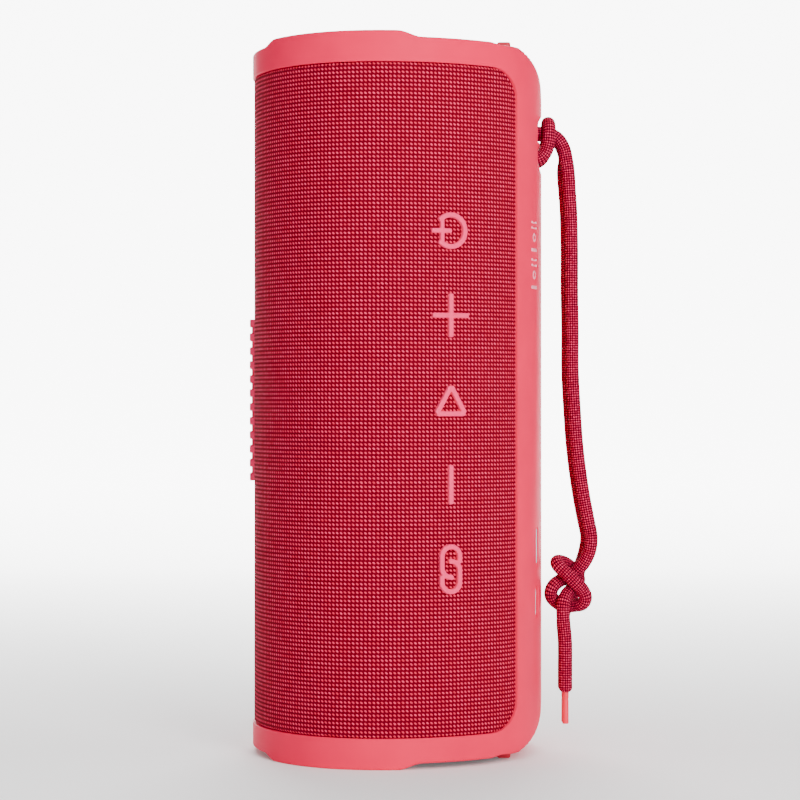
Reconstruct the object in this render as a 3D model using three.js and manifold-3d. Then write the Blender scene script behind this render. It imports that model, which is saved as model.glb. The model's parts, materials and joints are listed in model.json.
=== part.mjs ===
// Portable party speaker: an upright cylinder with a woven sleeve, a one-piece moulded frame
// (top rim, spine, bottom rim), five raised keys, a lanyard bar with a knotted cord strap.
// Units are millimetres. +Z is up and +X points out of the charging socket and the status light.
// The middle of the spine is SPINE_AT degrees round from +X toward +Y, the badge is opposite to it,
// and the keys look out between +X and -Y. The speaker stands on z = 0.

import * as THREE from 'three';
import { mergeVertices } from 'three/addons/utils/BufferGeometryUtils.js';
import Module from 'manifold-3d';

const wasm = await Module();
wasm.setup();

// ---- driving dimensions -------------------------------------------------------------------

// Half of the whole height, at the raised lobes of the rims
const HALF_HEIGHT = 104;
// Half of the height where the rims are low
const RIM_LOW = 102.3;
// Small scallop beside each lobe, on the spine side
const RIM_SCALLOP = 0.7;
// Half of the height of the visible fabric
const FABRIC_HALF = 95.16;
// Lobes: direction of the middle, half-width of the flat, half-width with the ramps (degrees)
const LOBE_AT = 98;
const LOBE_FLAT = 26;
const LOBE_FOOT = 35.2;

// Cross-section: distance of the tangent line from the axis, by direction of its normal
const SECTION_MEAN = 44.31;
const SECTION_LONG = -1.8;
const SECTION_EGG = 0.5;
const SECTION_SQUARE = 0.38;
// The axis of the section sits off the middle of the whole width by this much
const SECTION_X = -0.02;
// Sides of the polygon that stands for the section
const SECTION_SIDES = 72;

// Frame
const RIM_WALL = 3.4;
const SPINE_WALL = 3.0;
// Direction of the middle of the spine, and half of the spine's width
const SPINE_AT = 17.5;
const SPINE_HALF = 25.2;
const WINDOW_RADIUS = 9;
// Solid end of the spine behind its rounding, and the foot beside it
const HORN = { x: 33.8, half: 24.6, low: 92 };
const FOOT = { x0: 30.4, x1: 33.2, half: 21, lip: 28.3, lipLow: 101.6 };
// Rounding of the spine at its ends, in the XZ plane
const END_ROUND = { x: 30.9, z: 90, wide: 12.4, tall: 12.6 };

// Sleeve, grille and inner barrel, as depths below the outside of the frame
const FABRIC = { out: 0.45, in: 1.35 };
const GRILLE = { out: 1.65, in: 2.65 };
const BARREL = { out: 10.7, in: 12.7, half: 86 };
const GAP = 0.3;

// Keys
const KEY_AT = -48;
const KEY_PITCH = 23.9;
const KEY_MIDDLE = 0;
const KEY_PROUD = 1.2;
const KEY_STROKE = 1.43;
const KEY_CAP_RADIUS = 7.6;
const SWITCH_DEPTH = 5.5;

// Lanyard pocket and bar
const LANYARD_Z = 75.4;
const LANYARD_X = 41.6;
const LANYARD_BAR_RADIUS = 1.4;
// The pocket flares from its room, up to x = room, to a wide mouth
const POCKET = { low: 68.8, high: 82.1, half: 10.8, floor: 32.8, room: 38, throat: 41.6, mouth: 47 };

// Light strip and charging socket on the spine
const LIGHT = { z: -42.85, long: 10.9, wide: 2.1 };
const SOCKET = { z: -59.2, long: 9.3, wide: 3.6 };

// Badge opposite to the spine: direction, half of its height, how far it stands out of the fabric,
// height of its pegs above and below the middle, and their sideways place in the spine's own plane
const BADGE_AT = SPINE_AT + 180;
const BADGE_HALF = 24;
const BADGE_PROUD = 1.4;
const BADGE_PEG = 15;
const BADGE_SIDE = -1.83;

// Passive radiators in both ends
const PLATE_RADIUS = 20.5;
const ROLL_RADIUS = 27.6;
const RADIATOR_RING = 29.6;

// Strap cord
const CORD_RADIUS = 2.0;

// ---- section ------------------------------------------------------------------------------

function degrees(angle) {
  return (angle * Math.PI) / 180;
}

function support(angle) {
  return SECTION_MEAN + SECTION_LONG * Math.cos(2 * angle) + SECTION_EGG * Math.cos(3 * angle)
    + SECTION_SQUARE * Math.cos(4 * angle);
}

function supportSlope(angle) {
  return -2 * SECTION_LONG * Math.sin(2 * angle) - 3 * SECTION_EGG * Math.sin(3 * angle)
    - 4 * SECTION_SQUARE * Math.sin(4 * angle);
}

// Point of the section whose outward normal is at this angle, moved in by the depth
function sectionPoint(angle, depth = 0) {
  const h = support(angle) - depth;
  const s = supportSlope(angle);
  return new THREE.Vector2(
    h * Math.cos(angle) - s * Math.sin(angle),
    h * Math.sin(angle) + s * Math.cos(angle),
  );
}

function sectionOutline(depth, sides = SECTION_SIDES) {
  const points = [];
  for (let i = 0; i < sides; i += 1) {
    points.push(sectionPoint((i / sides) * 2 * Math.PI, depth));
  }
  return points;
}

// ---- geometry helpers ---------------------------------------------------------------------

function solid(geometry) {
  const bare = geometry.clone();
  bare.deleteAttribute('normal');
  bare.deleteAttribute('uv');
  const merged = mergeVertices(bare, 1e-4);
  const mesh = new wasm.Mesh({
    numProp: 3,
    vertProperties: new Float32Array(merged.attributes.position.array),
    triVerts: new Uint32Array(merged.index.array),
  });
  return new wasm.Manifold(mesh);
}

function geometryOf(body) {
  const mesh = body.getMesh();
  const geometry = new THREE.BufferGeometry();
  geometry.setAttribute('position', new THREE.BufferAttribute(new Float32Array(mesh.vertProperties), 3));
  geometry.setIndex(new THREE.BufferAttribute(new Uint32Array(mesh.triVerts), 1));
  geometry.computeVertexNormals();
  return geometry;
}

function union(...bodies) {
  return bodies.reduce((whole, next) => whole.add(next));
}

function cut(body, ...tools) {
  return tools.reduce((whole, tool) => whole.subtract(tool), body);
}

function extruded(points, low, high) {
  const shape = new THREE.Shape(points);
  const geometry = new THREE.ExtrudeGeometry(shape, {
    depth: high - low,
    bevelEnabled: false,
    curveSegments: 10,
  });
  geometry.translate(0, 0, low);
  return geometry;
}

// Straight prism of the section between two heights
function prism(depth, low, high, sides = SECTION_SIDES) {
  return solid(extruded(sectionOutline(depth, sides), low, high));
}

// Tube wall that follows the section between two depths
function wall(outer, inner, low, high, sides = SECTION_SIDES) {
  return prism(outer, low, high, sides).subtract(prism(inner, low - 1, high + 1, sides));
}

function box(x0, x1, y0, y1, z0, z1) {
  const geometry = new THREE.BoxGeometry(x1 - x0, y1 - y0, z1 - z0);
  geometry.translate((x0 + x1) / 2, (y0 + y1) / 2, (z0 + z1) / 2);
  return solid(geometry);
}

function cylinderZ(x, y, radius, low, high, sides = 24) {
  const geometry = new THREE.CylinderGeometry(radius, radius, high - low, sides);
  geometry.rotateX(Math.PI / 2);
  geometry.translate(x, y, (low + high) / 2);
  return solid(geometry);
}

// Turned part: a closed profile of [radius, height] pairs around the z axis
function turned(profile, sides = 40) {
  const points = profile.map(([radius, height]) => new THREE.Vector2(radius, height));
  const lathe = new THREE.LatheGeometry(points, sides);
  lathe.rotateX(Math.PI / 2);
  lathe.deleteAttribute('normal');
  lathe.deleteAttribute('uv');
  return facingOut(mergeVertices(lathe, 1e-4));
}

// Outline points of a rectangle with rounded corners
function roundedBox(u0, u1, v0, v1, radius, steps = 4) {
  const points = [];
  const corners = [[u1, v1, 0], [u0, v1, 90], [u0, v0, 180], [u1, v0, 270]];
  for (const [u, v, start] of corners) {
    const cu = u === u1 ? u - radius : u + radius;
    const cv = v === v1 ? v - radius : v + radius;
    for (let i = 0; i <= steps; i += 1) {
      const angle = degrees(start + (90 * i) / steps);
      points.push(new THREE.Vector2(cu + radius * Math.cos(angle), cv + radius * Math.sin(angle)));
    }
  }
  return points;
}

// Prism along X of an outline given in (y, z)
function prismX(points, x0, x1) {
  const geometry = extruded(points, x0, x1);
  const turn = new THREE.Matrix4().makeBasis(
    new THREE.Vector3(0, 1, 0),
    new THREE.Vector3(0, 0, 1),
    new THREE.Vector3(1, 0, 0),
  );
  geometry.applyMatrix4(turn);
  return solid(geometry);
}

// Prism square to the outside at an angle, of an outline given in (right, up) as seen from outside
function prismOut(points, angle, z, near, far) {
  const geometry = extruded(points, near, far);
  const foot = sectionPoint(angle, support(angle));
  const turn = new THREE.Matrix4().makeBasis(
    new THREE.Vector3(-Math.sin(angle), Math.cos(angle), 0),
    new THREE.Vector3(0, 0, 1),
    new THREE.Vector3(Math.cos(angle), Math.sin(angle), 0),
  );
  turn.setPosition(foot.x, foot.y, z);
  geometry.applyMatrix4(turn);
  return solid(geometry);
}

// Closed skin over rows of points that all have the same count; rows join first to last,
// or the first and last rows are closed with flat fans
function skin(rows, closed) {
  const count = rows[0].length;
  const positions = [];
  const index = [];
  for (const row of rows) {
    for (const point of row) {
      positions.push(point[0], point[1], point[2]);
    }
  }
  const last = closed ? rows.length : rows.length - 1;
  for (let i = 0; i < last; i += 1) {
    const next = (i + 1) % rows.length;
    for (let j = 0; j < count; j += 1) {
      const k = (j + 1) % count;
      const a = i * count + j;
      const b = i * count + k;
      const c = next * count + k;
      const d = next * count + j;
      index.push(a, b, c, a, c, d);
    }
  }
  if (!closed) {
    for (const [row, flip] of [[0, true], [rows.length - 1, false]]) {
      const centre = [0, 0, 0];
      for (const point of rows[row]) {
        for (let axis = 0; axis < 3; axis += 1) {
          centre[axis] += point[axis] / count;
        }
      }
      const hub = positions.length / 3;
      positions.push(...centre);
      for (let j = 0; j < count; j += 1) {
        const a = row * count + j;
        const b = row * count + ((j + 1) % count);
        index.push(...(flip ? [hub, b, a] : [hub, a, b]));
      }
    }
  }
  const geometry = new THREE.BufferGeometry();
  geometry.setAttribute('position', new THREE.Float32BufferAttribute(positions, 3));
  geometry.setIndex(index);
  return facingOut(geometry);
}

// Turns the faces over if the volume comes out negative
function facingOut(geometry) {
  const p = geometry.attributes.position;
  const index = geometry.index.array;
  const a = new THREE.Vector3();
  const b = new THREE.Vector3();
  const c = new THREE.Vector3();
  let volume = 0;
  for (let i = 0; i < index.length; i += 3) {
    a.fromBufferAttribute(p, index[i]);
    b.fromBufferAttribute(p, index[i + 1]);
    c.fromBufferAttribute(p, index[i + 2]);
    volume += a.dot(b.clone().cross(c));
  }
  if (volume < 0) {
    for (let i = 0; i < index.length; i += 3) {
      const keep = index[i + 1];
      index[i + 1] = index[i + 2];
      index[i + 2] = keep;
    }
  }
  return geometry;
}

// Copy reflected in the plane z = 0
function mirrored(geometry) {
  const bare = geometry.clone();
  bare.deleteAttribute('normal');
  bare.deleteAttribute('uv');
  const copy = mergeVertices(bare, 1e-4);
  copy.scale(1, 1, -1);
  facingOut(copy);
  copy.computeVertexNormals();
  return copy;
}

// Round tube along a smooth line through the points
function tube(points, radius, steps, sides = 8) {
  const line = new THREE.CatmullRomCurve3(points.map((p) => new THREE.Vector3(...p)), false, 'centripetal');
  const outline = [];
  for (let i = 0; i < sides; i += 1) {
    const angle = (i / sides) * 2 * Math.PI;
    outline.push(new THREE.Vector2(radius * Math.cos(angle), radius * Math.sin(angle)));
  }
  return new THREE.ExtrudeGeometry(new THREE.Shape(outline), { steps, bevelEnabled: false, extrudePath: line });
}

// ---- frame --------------------------------------------------------------------------------

function smooth(t) {
  const s = Math.min(1, Math.max(0, t));
  return s * s * (3 - 2 * s);
}

// Height of the rim edge above the middle, by direction around the axis
function rimHeight(theta) {
  let turn = Math.abs(theta) % 360;
  if (turn > 180) {
    turn = 360 - turn;
  }
  const off = Math.abs(turn - LOBE_AT);
  const lobe = 1 - smooth((off - LOBE_FLAT) / (LOBE_FOOT - LOBE_FLAT));
  const scallop = smooth(1 - Math.abs(turn - 25.5) / 7);
  return RIM_LOW + (HALF_HEIGHT - RIM_LOW) * lobe - RIM_SCALLOP * scallop;
}

// Everything above the rim edge
function aboveRim() {
  const rows = [];
  const steps = 96;
  for (let i = 0; i < steps; i += 1) {
    const theta = (i / steps) * 360;
    const c = Math.cos(degrees(theta));
    const s = Math.sin(degrees(theta));
    const z = rimHeight(theta);
    rows.push([[22 * c, 22 * s, z], [70 * c, 70 * s, z], [70 * c, 70 * s, 120], [22 * c, 22 * s, 120]]);
  }
  return skin(rows, true);
}

// Everything outside the rounded end of the spine, between two y limits
function outsideEnd(half) {
  const points = [];
  const steps = 14;
  for (let i = 0; i <= steps; i += 1) {
    const angle = degrees(90 * (i / steps));
    points.push([
      END_ROUND.x + END_ROUND.wide * Math.sin(angle),
      END_ROUND.z + END_ROUND.tall * Math.cos(angle),
    ]);
  }
  const outline = [...points, [70, END_ROUND.z], [70, 125], [END_ROUND.x, 125]];
  const geometry = new THREE.ExtrudeGeometry(
    new THREE.Shape(outline.map(([x, z]) => new THREE.Vector2(x, z))),
    { depth: 2 * half, bevelEnabled: false },
  );
  geometry.rotateX(Math.PI / 2);
  geometry.translate(0, half, 0);
  return geometry;
}

// The window that the fabric fills, grown by a margin; it wraps all round except the spine
function windowCutter(margin) {
  const top = FABRIC_HALF + margin;
  const side = SPINE_HALF - margin;
  const radius = WINDOW_RADIUS + margin;
  const right = roundedBox(side, 90, -top, top, radius, 6);
  const left = roundedBox(-90, -side, -top, top, radius, 6);
  return atSpine(union(
    prismX(right, 2, 70),
    prismX(left, 2, 70),
    box(-70, 2.5, -70, 70, -top, top),
  ));
}

function bothEnds(geometry) {
  return [solid(geometry), solid(mirrored(geometry))];
}

// Spine features are drawn about the XZ plane and turned to the middle of the spine
function atSpine(body) {
  return body.rotate([0, 0, SPINE_AT]);
}

function pocketCutter() {
  const ring = (half, low, high, x) => roundedBox(-half, half, low, high, 3, 3).map((p) => [x, p.x, p.y]);
  return solid(skin([
    ring(POCKET.half, POCKET.low, POCKET.high, POCKET.floor),
    ring(POCKET.half, POCKET.low, POCKET.high, POCKET.room),
    ring(POCKET.half + 1.4, POCKET.low + 0.3, POCKET.high - 0.3, POCKET.throat),
    ring(POCKET.half + 11, POCKET.low - 10, POCKET.high + 10, POCKET.mouth),
  ], false));
}

// The bar follows the bend of the spine
function barLine(half) {
  return [-1, -0.55, 0, 0.55, 1].map((t) => [LANYARD_X - 2.1 * t * t, half * t, LANYARD_Z]);
}

const BAR_HALF = 12.9;

function outerFrame() {
  const rims = wall(0, RIM_WALL, -HALF_HEIGHT, HALF_HEIGHT);
  const thin = wall(SPINE_WALL, RIM_WALL + 1, -FABRIC_HALF + 1, FABRIC_HALF - 1);
  const side = POCKET.half + 3.4;
  const backing = box(POCKET.floor - 2, 43, -side, side, POCKET.low - 2.5, POCKET.high + 2.5);
  const light = prismX(
    roundedBox(-LIGHT.wide / 2, LIGHT.wide / 2, LIGHT.z - LIGHT.long / 2, LIGHT.z + LIGHT.long / 2, 1, 4),
    30,
    60,
  );
  const socket = prismX(
    roundedBox(-SOCKET.wide / 2, SOCKET.wide / 2, SOCKET.z - SOCKET.long / 2, SOCKET.z + SOCKET.long / 2, 1.78, 5),
    30,
    60,
  );
  const barHole = atSpine(solid(tube(barLine(BAR_HALF + GAP), LANYARD_BAR_RADIUS + GAP, 12, 12)));
  const horn = atSpine(box(HORN.x, 50, -HORN.half, HORN.half, HORN.low, 110)).intersect(prism(1.2, 80, 120));
  let body = cut(rims, windowCutter(0), thin);
  body = body.add(atSpine(backing).intersect(prism(1.2, -100, 100)));
  body = body.add(horn).add(solid(mirrored(geometryOf(horn))));
  return cut(
    body,
    atSpine(pocketCutter()),
    light,
    socket,
    barHole,
    ...bothEnds(aboveRim()),
    ...bothEnds(outsideEnd(60)).map(atSpine),
  );
}

// ---- keys ---------------------------------------------------------------------------------

function strip(u0, u1, v0, v1) {
  return roundedBox(u0, u1, v0, v1, Math.min(u1 - u0, v1 - v0) * 0.3, 2);
}

function arc(cu, cv, inner, outer, start, end, steps) {
  const points = [];
  for (let i = 0; i <= steps; i += 1) {
    const angle = degrees(start + ((end - start) * i) / steps);
    points.push(new THREE.Vector2(cu + outer * Math.cos(angle), cv + outer * Math.sin(angle)));
  }
  for (let i = steps; i >= 0; i -= 1) {
    const angle = degrees(start + ((end - start) * i) / steps);
    points.push(new THREE.Vector2(cu + inner * Math.cos(angle), cv + inner * Math.sin(angle)));
  }
  return points;
}

// Straight bar between two points
function stroke(u0, v0, u1, v1, width) {
  const along = new THREE.Vector2(u1 - u0, v1 - v0).normalize();
  const side = new THREE.Vector2(-along.y, along.x).multiplyScalar(width / 2);
  const reach = along.clone().multiplyScalar(width / 2);
  const a = new THREE.Vector2(u0, v0).sub(reach);
  const b = new THREE.Vector2(u1, v1).add(reach);
  return [
    a.clone().sub(side),
    b.clone().sub(side),
    b.clone().add(side),
    a.clone().add(side),
  ];
}

// Outlines of each sign, grown by a margin
function powerSign(margin) {
  const w = KEY_STROKE / 2 + margin;
  return [
    arc(0, 0, 4.47 - w, 4.47 + w, -142 - 15 * margin, 142 + 15 * margin, 16),
    strip(-6.5 - margin, 0.4 + margin, -0.67 - margin, 0.67 + margin),
    strip(-3.3 - margin, -2.1 + margin, -3.6 - margin, 3.6 + margin),
  ];
}

function plusSign(margin) {
  const w = KEY_STROKE / 2 + margin;
  return [strip(-6 - margin, 6 + margin, -w, w), strip(-w, w, -6.6 - margin, 6.6 + margin)];
}

function playSign(margin) {
  const w = KEY_STROKE + 2 * margin;
  return [
    stroke(-4.4, -3.9, 4.4, -3.9, w),
    stroke(-4.4, -3.9, 0, 3.9, w),
    stroke(4.4, -3.9, 0, 3.9, w),
  ];
}

function minusSign(margin) {
  const w = KEY_STROKE / 2 + margin;
  return [strip(-w, w, -6.05 - margin, 6.05 + margin)];
}

function linkSign(margin) {
  const w = KEY_STROKE / 2 + margin;
  const r = 2.75;
  return [
    arc(0, 3.6, r - w, r + w, -10 * margin, 180 + 10 * margin, 8),
    strip(-r - w, -r + w, 0.4 - margin, 3.7),
    arc(0, 0.5, r - w, r + w, 180 - 10 * margin, 285 + 15 * margin, 6),
    strip(r - w, r + w, 1.6 - margin, 3.7),
    arc(0, -3.6, r - w, r + w, 180 - 10 * margin, 360 + 10 * margin, 8),
    strip(r - w, r + w, -3.7, -0.4 + margin),
    arc(0, -0.5, r - w, r + w, -10 * margin, 105 + 15 * margin, 6),
    strip(-r - w, -r + w, -3.7, 0.6 + margin),
  ];
}

// Ground enclosed by a sign: cloth is bonded to the key there instead of belonging to the sleeve
function powerGround(margin) {
  return [arc(0, 0, 0, 4.5 + margin, -130, 130, 16).slice(0, 17)];
}

function playGround() {
  return [[new THREE.Vector2(-4.4, -3.9), new THREE.Vector2(4.4, -3.9), new THREE.Vector2(0, 3.9)]];
}

function linkGround(margin) {
  const half = 2.8 + margin;
  return [roundedBox(-half, half, -6.4 - margin, 6.4 + margin, half - 0.05, 6)];
}

const KEYS = [
  { name: 'power_key', z: 2, sign: powerSign, ground: powerGround },
  { name: 'volume_up_key', z: 1, sign: plusSign, ground: null },
  { name: 'play_key', z: 0, sign: playSign, ground: playGround },
  { name: 'volume_down_key', z: -1, sign: minusSign, ground: null },
  { name: 'link_key', z: -2, sign: linkSign, ground: linkGround },
];

const KEY_ANGLE = degrees(KEY_AT);
const KEY_FACE = support(KEY_ANGLE);

function keyHeight(key) {
  return KEY_MIDDLE + key.z * KEY_PITCH;
}

function signBody(key, margin, near, far) {
  const parts = key.sign(margin).map((outline) => prismOut(outline, KEY_ANGLE, keyHeight(key), near, far));
  return union(...parts);
}

// Whole opening that a key needs in the sleeve
function keyOpening(key, margin) {
  const sign = signBody(key, margin, KEY_FACE - 8, KEY_FACE + 8);
  if (!key.ground) {
    return sign;
  }
  return union(sign, groundBody(key, 0.3, KEY_FACE - 8, KEY_FACE + 8));
}

function groundBody(key, margin, near, far) {
  const parts = key.ground(margin).map((outline) => prismOut(outline, KEY_ANGLE, keyHeight(key), near, far));
  return union(...parts);
}

function roundOut(radius, z, near, far, sides = 28) {
  const outline = [];
  for (let i = 0; i < sides; i += 1) {
    const angle = (i / sides) * 2 * Math.PI;
    outline.push(new THREE.Vector2(radius * Math.cos(angle), radius * Math.sin(angle)));
  }
  return prismOut(outline, KEY_ANGLE, z, near, far);
}

function keyBody(key) {
  const z = keyHeight(key);
  const crown = FABRIC.out - KEY_PROUD;
  const low = z - 12;
  const high = z + 12;
  const sign = signBody(key, 0, KEY_FACE - 6, KEY_FACE + 6).intersect(wall(crown, 2.2, low, high));
  const cap = roundOut(KEY_CAP_RADIUS, z, KEY_FACE - 6, KEY_FACE + 6).intersect(wall(1.7, 2.7, low, high));
  const stem = roundOut(1.6, z, KEY_FACE - 4.6, KEY_FACE - 2.3, 14);
  const body = union(sign, cap, stem);
  if (!key.ground) {
    return body;
  }
  return body.add(groundBody(key, -0.05, KEY_FACE - 6, KEY_FACE + 6).intersect(wall(0.75, 2.2, low, high)));
}

// ---- sleeve, grille and barrel --------------------------------------------------------------

// The spine side is left out of a wall that wraps the rest
function wrapped(depths, margin, sides) {
  const sheet = wall(depths.out, depths.in, -FABRIC_HALF + margin, FABRIC_HALF - margin, sides);
  return sheet.intersect(windowCutter(-margin));
}

function fabricSleeve() {
  let body = wrapped(FABRIC, 0.25, SECTION_SIDES);
  for (const key of KEYS) {
    body = body.subtract(keyOpening(key, 0.3));
  }
  const legs = [-1, 1].map((side) => {
    const z = side * BADGE_PEG;
    return atSpine(box(-60, -30, BADGE_SIDE - 1.6, BADGE_SIDE + 1.6, z - 1.6, z + 1.6));
  });
  return cut(body, ...legs);
}

function grille() {
  let body = wrapped(GRILLE, 0.7, 48);
  for (const key of KEYS) {
    body = body.subtract(roundOut(KEY_CAP_RADIUS + 0.6, keyHeight(key), KEY_FACE - 8, KEY_FACE + 8));
  }
  const slots = [];
  for (let column = -2; column <= 2; column += 1) {
    for (const row of [-1, 0, 1]) {
      const outline = roundedBox(-2.4, 2.4, -22, 22, 1.6, 1);
      slots.push(prismOut(outline, degrees(BADGE_AT + column * 11), row * 50, 30, 60));
    }
  }
  return cut(body, ...slots);
}

const WOOFER = { z: -11, half: 20.5, long: 45, face: -31.3 };
const TWEETER = { z: 60, radius: 13.5 };

function stadium(half, long, z, steps = 10) {
  return roundedBox(-half, half, z - long, z + long, half - 0.01, steps);
}

function circleOutline(radius, v, sides = 32) {
  const outline = [];
  for (let i = 0; i < sides; i += 1) {
    const angle = (i / sides) * 2 * Math.PI;
    outline.push(new THREE.Vector2(radius * Math.cos(angle), v + radius * Math.sin(angle)));
  }
  return outline;
}

function innerBarrel() {
  const shell = wall(BARREL.out, BARREL.in, -BARREL.half, BARREL.half, 48);
  const boss = box(-31, -26, -21.6, 21.6, -BARREL.half, BARREL.half);
  const room = prism(BARREL.in, -BARREL.half - 1, BARREL.half + 1, 48).intersect(box(-26, 40, -50, 50, -90, 90));
  const whole = shell.add(boss).subtract(room);
  return cut(
    whole,
    prismX(stadium(18.6, 43.1, WOOFER.z), -40, -20),
    prismX(circleOutline(11.6, TWEETER.z), -40, -20),
    atSpine(box(28, 50, -POCKET.half - 3.9, POCKET.half + 3.9, POCKET.low - 3, POCKET.high + 3)),
    box(-60, -31, -60, 60, -100, 100),
  );
}

// ---- drivers --------------------------------------------------------------------------------

// Rows of a racetrack outline at given size and x
function trackRow(half, long, x, steps = 5) {
  return roundedBox(-half, half, WOOFER.z - long, WOOFER.z + long, half - 0.01, steps)
    .map((p) => [x, p.x, p.y]);
}

function wooferBasket() {
  const flange = prismX(stadium(WOOFER.half, WOOFER.long, WOOFER.z, 8), WOOFER.face - 2, WOOFER.face);
  const cup = solid(skin([trackRow(18.2, 42.7, -31.5), trackRow(12, 30, -20), trackRow(12, 30, -18.2)], false));
  const inside = solid(skin([trackRow(17.2, 41.7, -34), trackRow(17.2, 41.7, -31.3), trackRow(11, 29, -20)], false));
  const hole = prismX(circleOutline(8.5, WOOFER.z, 24), -30, -10);
  return cut(union(flange, cup), inside, hole);
}

function wooferSurround() {
  const rows = [
    trackRow(17.9, 42.4, -33.9),
    trackRow(17.9, 42.4, -33.55),
    trackRow(16.9, 41.4, -33.55),
    trackRow(15.4, 39.9, -35.2),
    trackRow(13.9, 38.4, -33.55),
    trackRow(13.9, 38.4, -34.1),
    trackRow(15.4, 39.9, -36.0),
    trackRow(16.9, 41.4, -34.2),
  ];
  return skin(rows, true);
}

function wooferCone() {
  const rows = [
    trackRow(13.5, 38, -34.2),
    trackRow(13.5, 38, -33.2),
    trackRow(7.4, 8.2, -24.2),
    trackRow(7.4, 8.2, -20.6),
    trackRow(6.6, 7.4, -20.6),
    trackRow(6.6, 7.4, -25.0),
    trackRow(7.2, 8, -25.6),
  ];
  const shell = solid(skin(rows, true));
  const dome = solid(skin([
    trackRow(7.3, 8.1, -25.2),
    trackRow(6.4, 7.2, -27.2),
    trackRow(4.2, 5, -28.6),
    trackRow(1.5, 2.3, -29.2),
  ], false));
  return union(shell, dome);
}

function wooferMagnet() {
  const cup = prismX(circleOutline(16, WOOFER.z), -17.9, -6);
  const gap = prismX(circleOutline(8.6, WOOFER.z), -19, -9);
  const core = prismX(circleOutline(5.4, WOOFER.z), -17.9, -8);
  return union(cut(cup, gap), core);
}

function tweeterHousing() {
  const flange = prismX(circleOutline(TWEETER.radius, TWEETER.z), WOOFER.face - 1.6, WOOFER.face);
  const back = prismX(circleOutline(11.2, TWEETER.z), -31.5, -21);
  const cup = prismX(circleOutline(9.4, TWEETER.z), -40, -24);
  return cut(union(flange, back), cup);
}

function tweeterDome() {
  const geometry = turned([[0, 3.2], [3, 2.9], [6, 1.7], [8, 0], [9, 0], [9, -0.8], [0, -0.8]], 28);
  geometry.rotateY(-Math.PI / 2);
  geometry.translate(-30.5, 0, TWEETER.z);
  return geometry;
}

// ---- ends -----------------------------------------------------------------------------------

const SCREW_RADIUS = 36;
const SCREW_ANGLES = [48, 132, 228, 312];

function screwSpots() {
  return SCREW_ANGLES.map((angle) => {
    const turn = degrees(angle);
    return [SCREW_RADIUS * Math.cos(turn), SCREW_RADIUS * Math.sin(turn)];
  });
}

function endBaffle() {
  const holes = screwSpots().map(([x, y]) => cylinderZ(x, y, 1.45, 80, 95, 8));
  return cut(prism(3.4, 86.3, 89.3, 36), cylinderZ(0, 0, 26.5, 80, 95, 32), ...holes);
}

function radiatorBasket() {
  const holes = screwSpots().map(([x, y]) => cylinderZ(x, y, 1.45, 80, 95, 8));
  return cut(prism(3.9, 89.6, 91.4, 36), cylinderZ(0, 0, 27.9, 80, 95, 32), ...holes);
}

function radiatorSurround() {
  const profile = [[RADIATOR_RING, 91.7], [RADIATOR_RING, 92.6], [ROLL_RADIUS, 92.6]];
  for (let i = 1; i < 5; i += 1) {
    const angle = degrees(36 * i);
    profile.push([24.2 + 3.4 * Math.cos(angle), 92.6 + 3.2 * Math.sin(angle)]);
  }
  profile.push([20.8, 92.6], [20.8, 91.9], [21.5, 91.9]);
  for (let i = 4; i > 0; i -= 1) {
    const angle = degrees(36 * i);
    profile.push([24.2 + 2.7 * Math.cos(angle), 91.9 + 2.5 * Math.sin(angle)]);
  }
  profile.push([26.9, 91.7], [RADIATOR_RING, 91.7]);
  return profile;
}

function radiatorPlate() {
  return turned([[0, 90.6], [PLATE_RADIUS, 90.6], [PLATE_RADIUS, 92.1], [PLATE_RADIUS - 1, 92.6],
    [14, 92.6], [13.4, 92.1], [0, 92.1]], 32);
}

function radiatorWeight() {
  return turned([[0, 85.4], [12.2, 85.4], [13, 86.2], [13, 90.3], [0, 90.3]], 32);
}

function endTrim() {
  const ring = prism(3.7, 93.2, 99.4, 36);
  const throat = solid(turned([[0, 92], [29.9, 92], [29.9, 95.4], [35, 101], [0, 101]], 36));
  const foot = atSpine(box(FOOT.x0 - GAP, 50, -FOOT.half - GAP, FOOT.half + GAP, 92, 101));
  const horn = atSpine(box(HORN.x - GAP, 50, -40, 40, 92, 101));
  return cut(ring, throat, foot, horn);
}

function screwBody(x, y) {
  const geometry = turned([[0, 82], [1.15, 82.6], [1.15, 91.7], [2.1, 91.7], [2.1, 92.6], [1.7, 92.95],
    [1.0, 92.95], [0.8, 92.3], [0, 92.3]], 8);
  geometry.translate(x, y, 0);
  return geometry;
}

function spineFoot() {
  const block = atSpine(box(FOOT.x0, FOOT.x1, -FOOT.half, FOOT.half, 93.4, HALF_HEIGHT));
  const lip = atSpine(box(FOOT.lip, FOOT.x1, -FOOT.half, FOOT.half, FOOT.lipLow, HALF_HEIGHT));
  return union(block, lip).intersect(prism(RIM_WALL + GAP, 90, 110, 48));
}

// ---- spine parts ----------------------------------------------------------------------------

function mainBoard() {
  return union(
    box(33.6, 35, -10.6, 10.6, -74, -26),
    box(35, 36.6, -9.6, -4.2, -38, -30),
    box(35, 36.2, 4.2, 9.8, -68, -58),
    box(32.9, 33.6, -3, 3, -56, -44),
  );
}

function usbSocket() {
  const shell = prismX(roundedBox(-1.6, 1.6, SOCKET.z - 4.5, SOCKET.z + 4.5, 1.55, 5), 35.3, 42.4);
  const mouth = prismX(roundedBox(-1.25, 1.25, SOCKET.z - 4.15, SOCKET.z + 4.15, 1.2, 5), 36.6, 50);
  const tongue = box(36, 41.6, -0.35, 0.35, SOCKET.z - 3.3, SOCKET.z + 3.3);
  return union(cut(shell, mouth), tongue);
}

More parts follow.
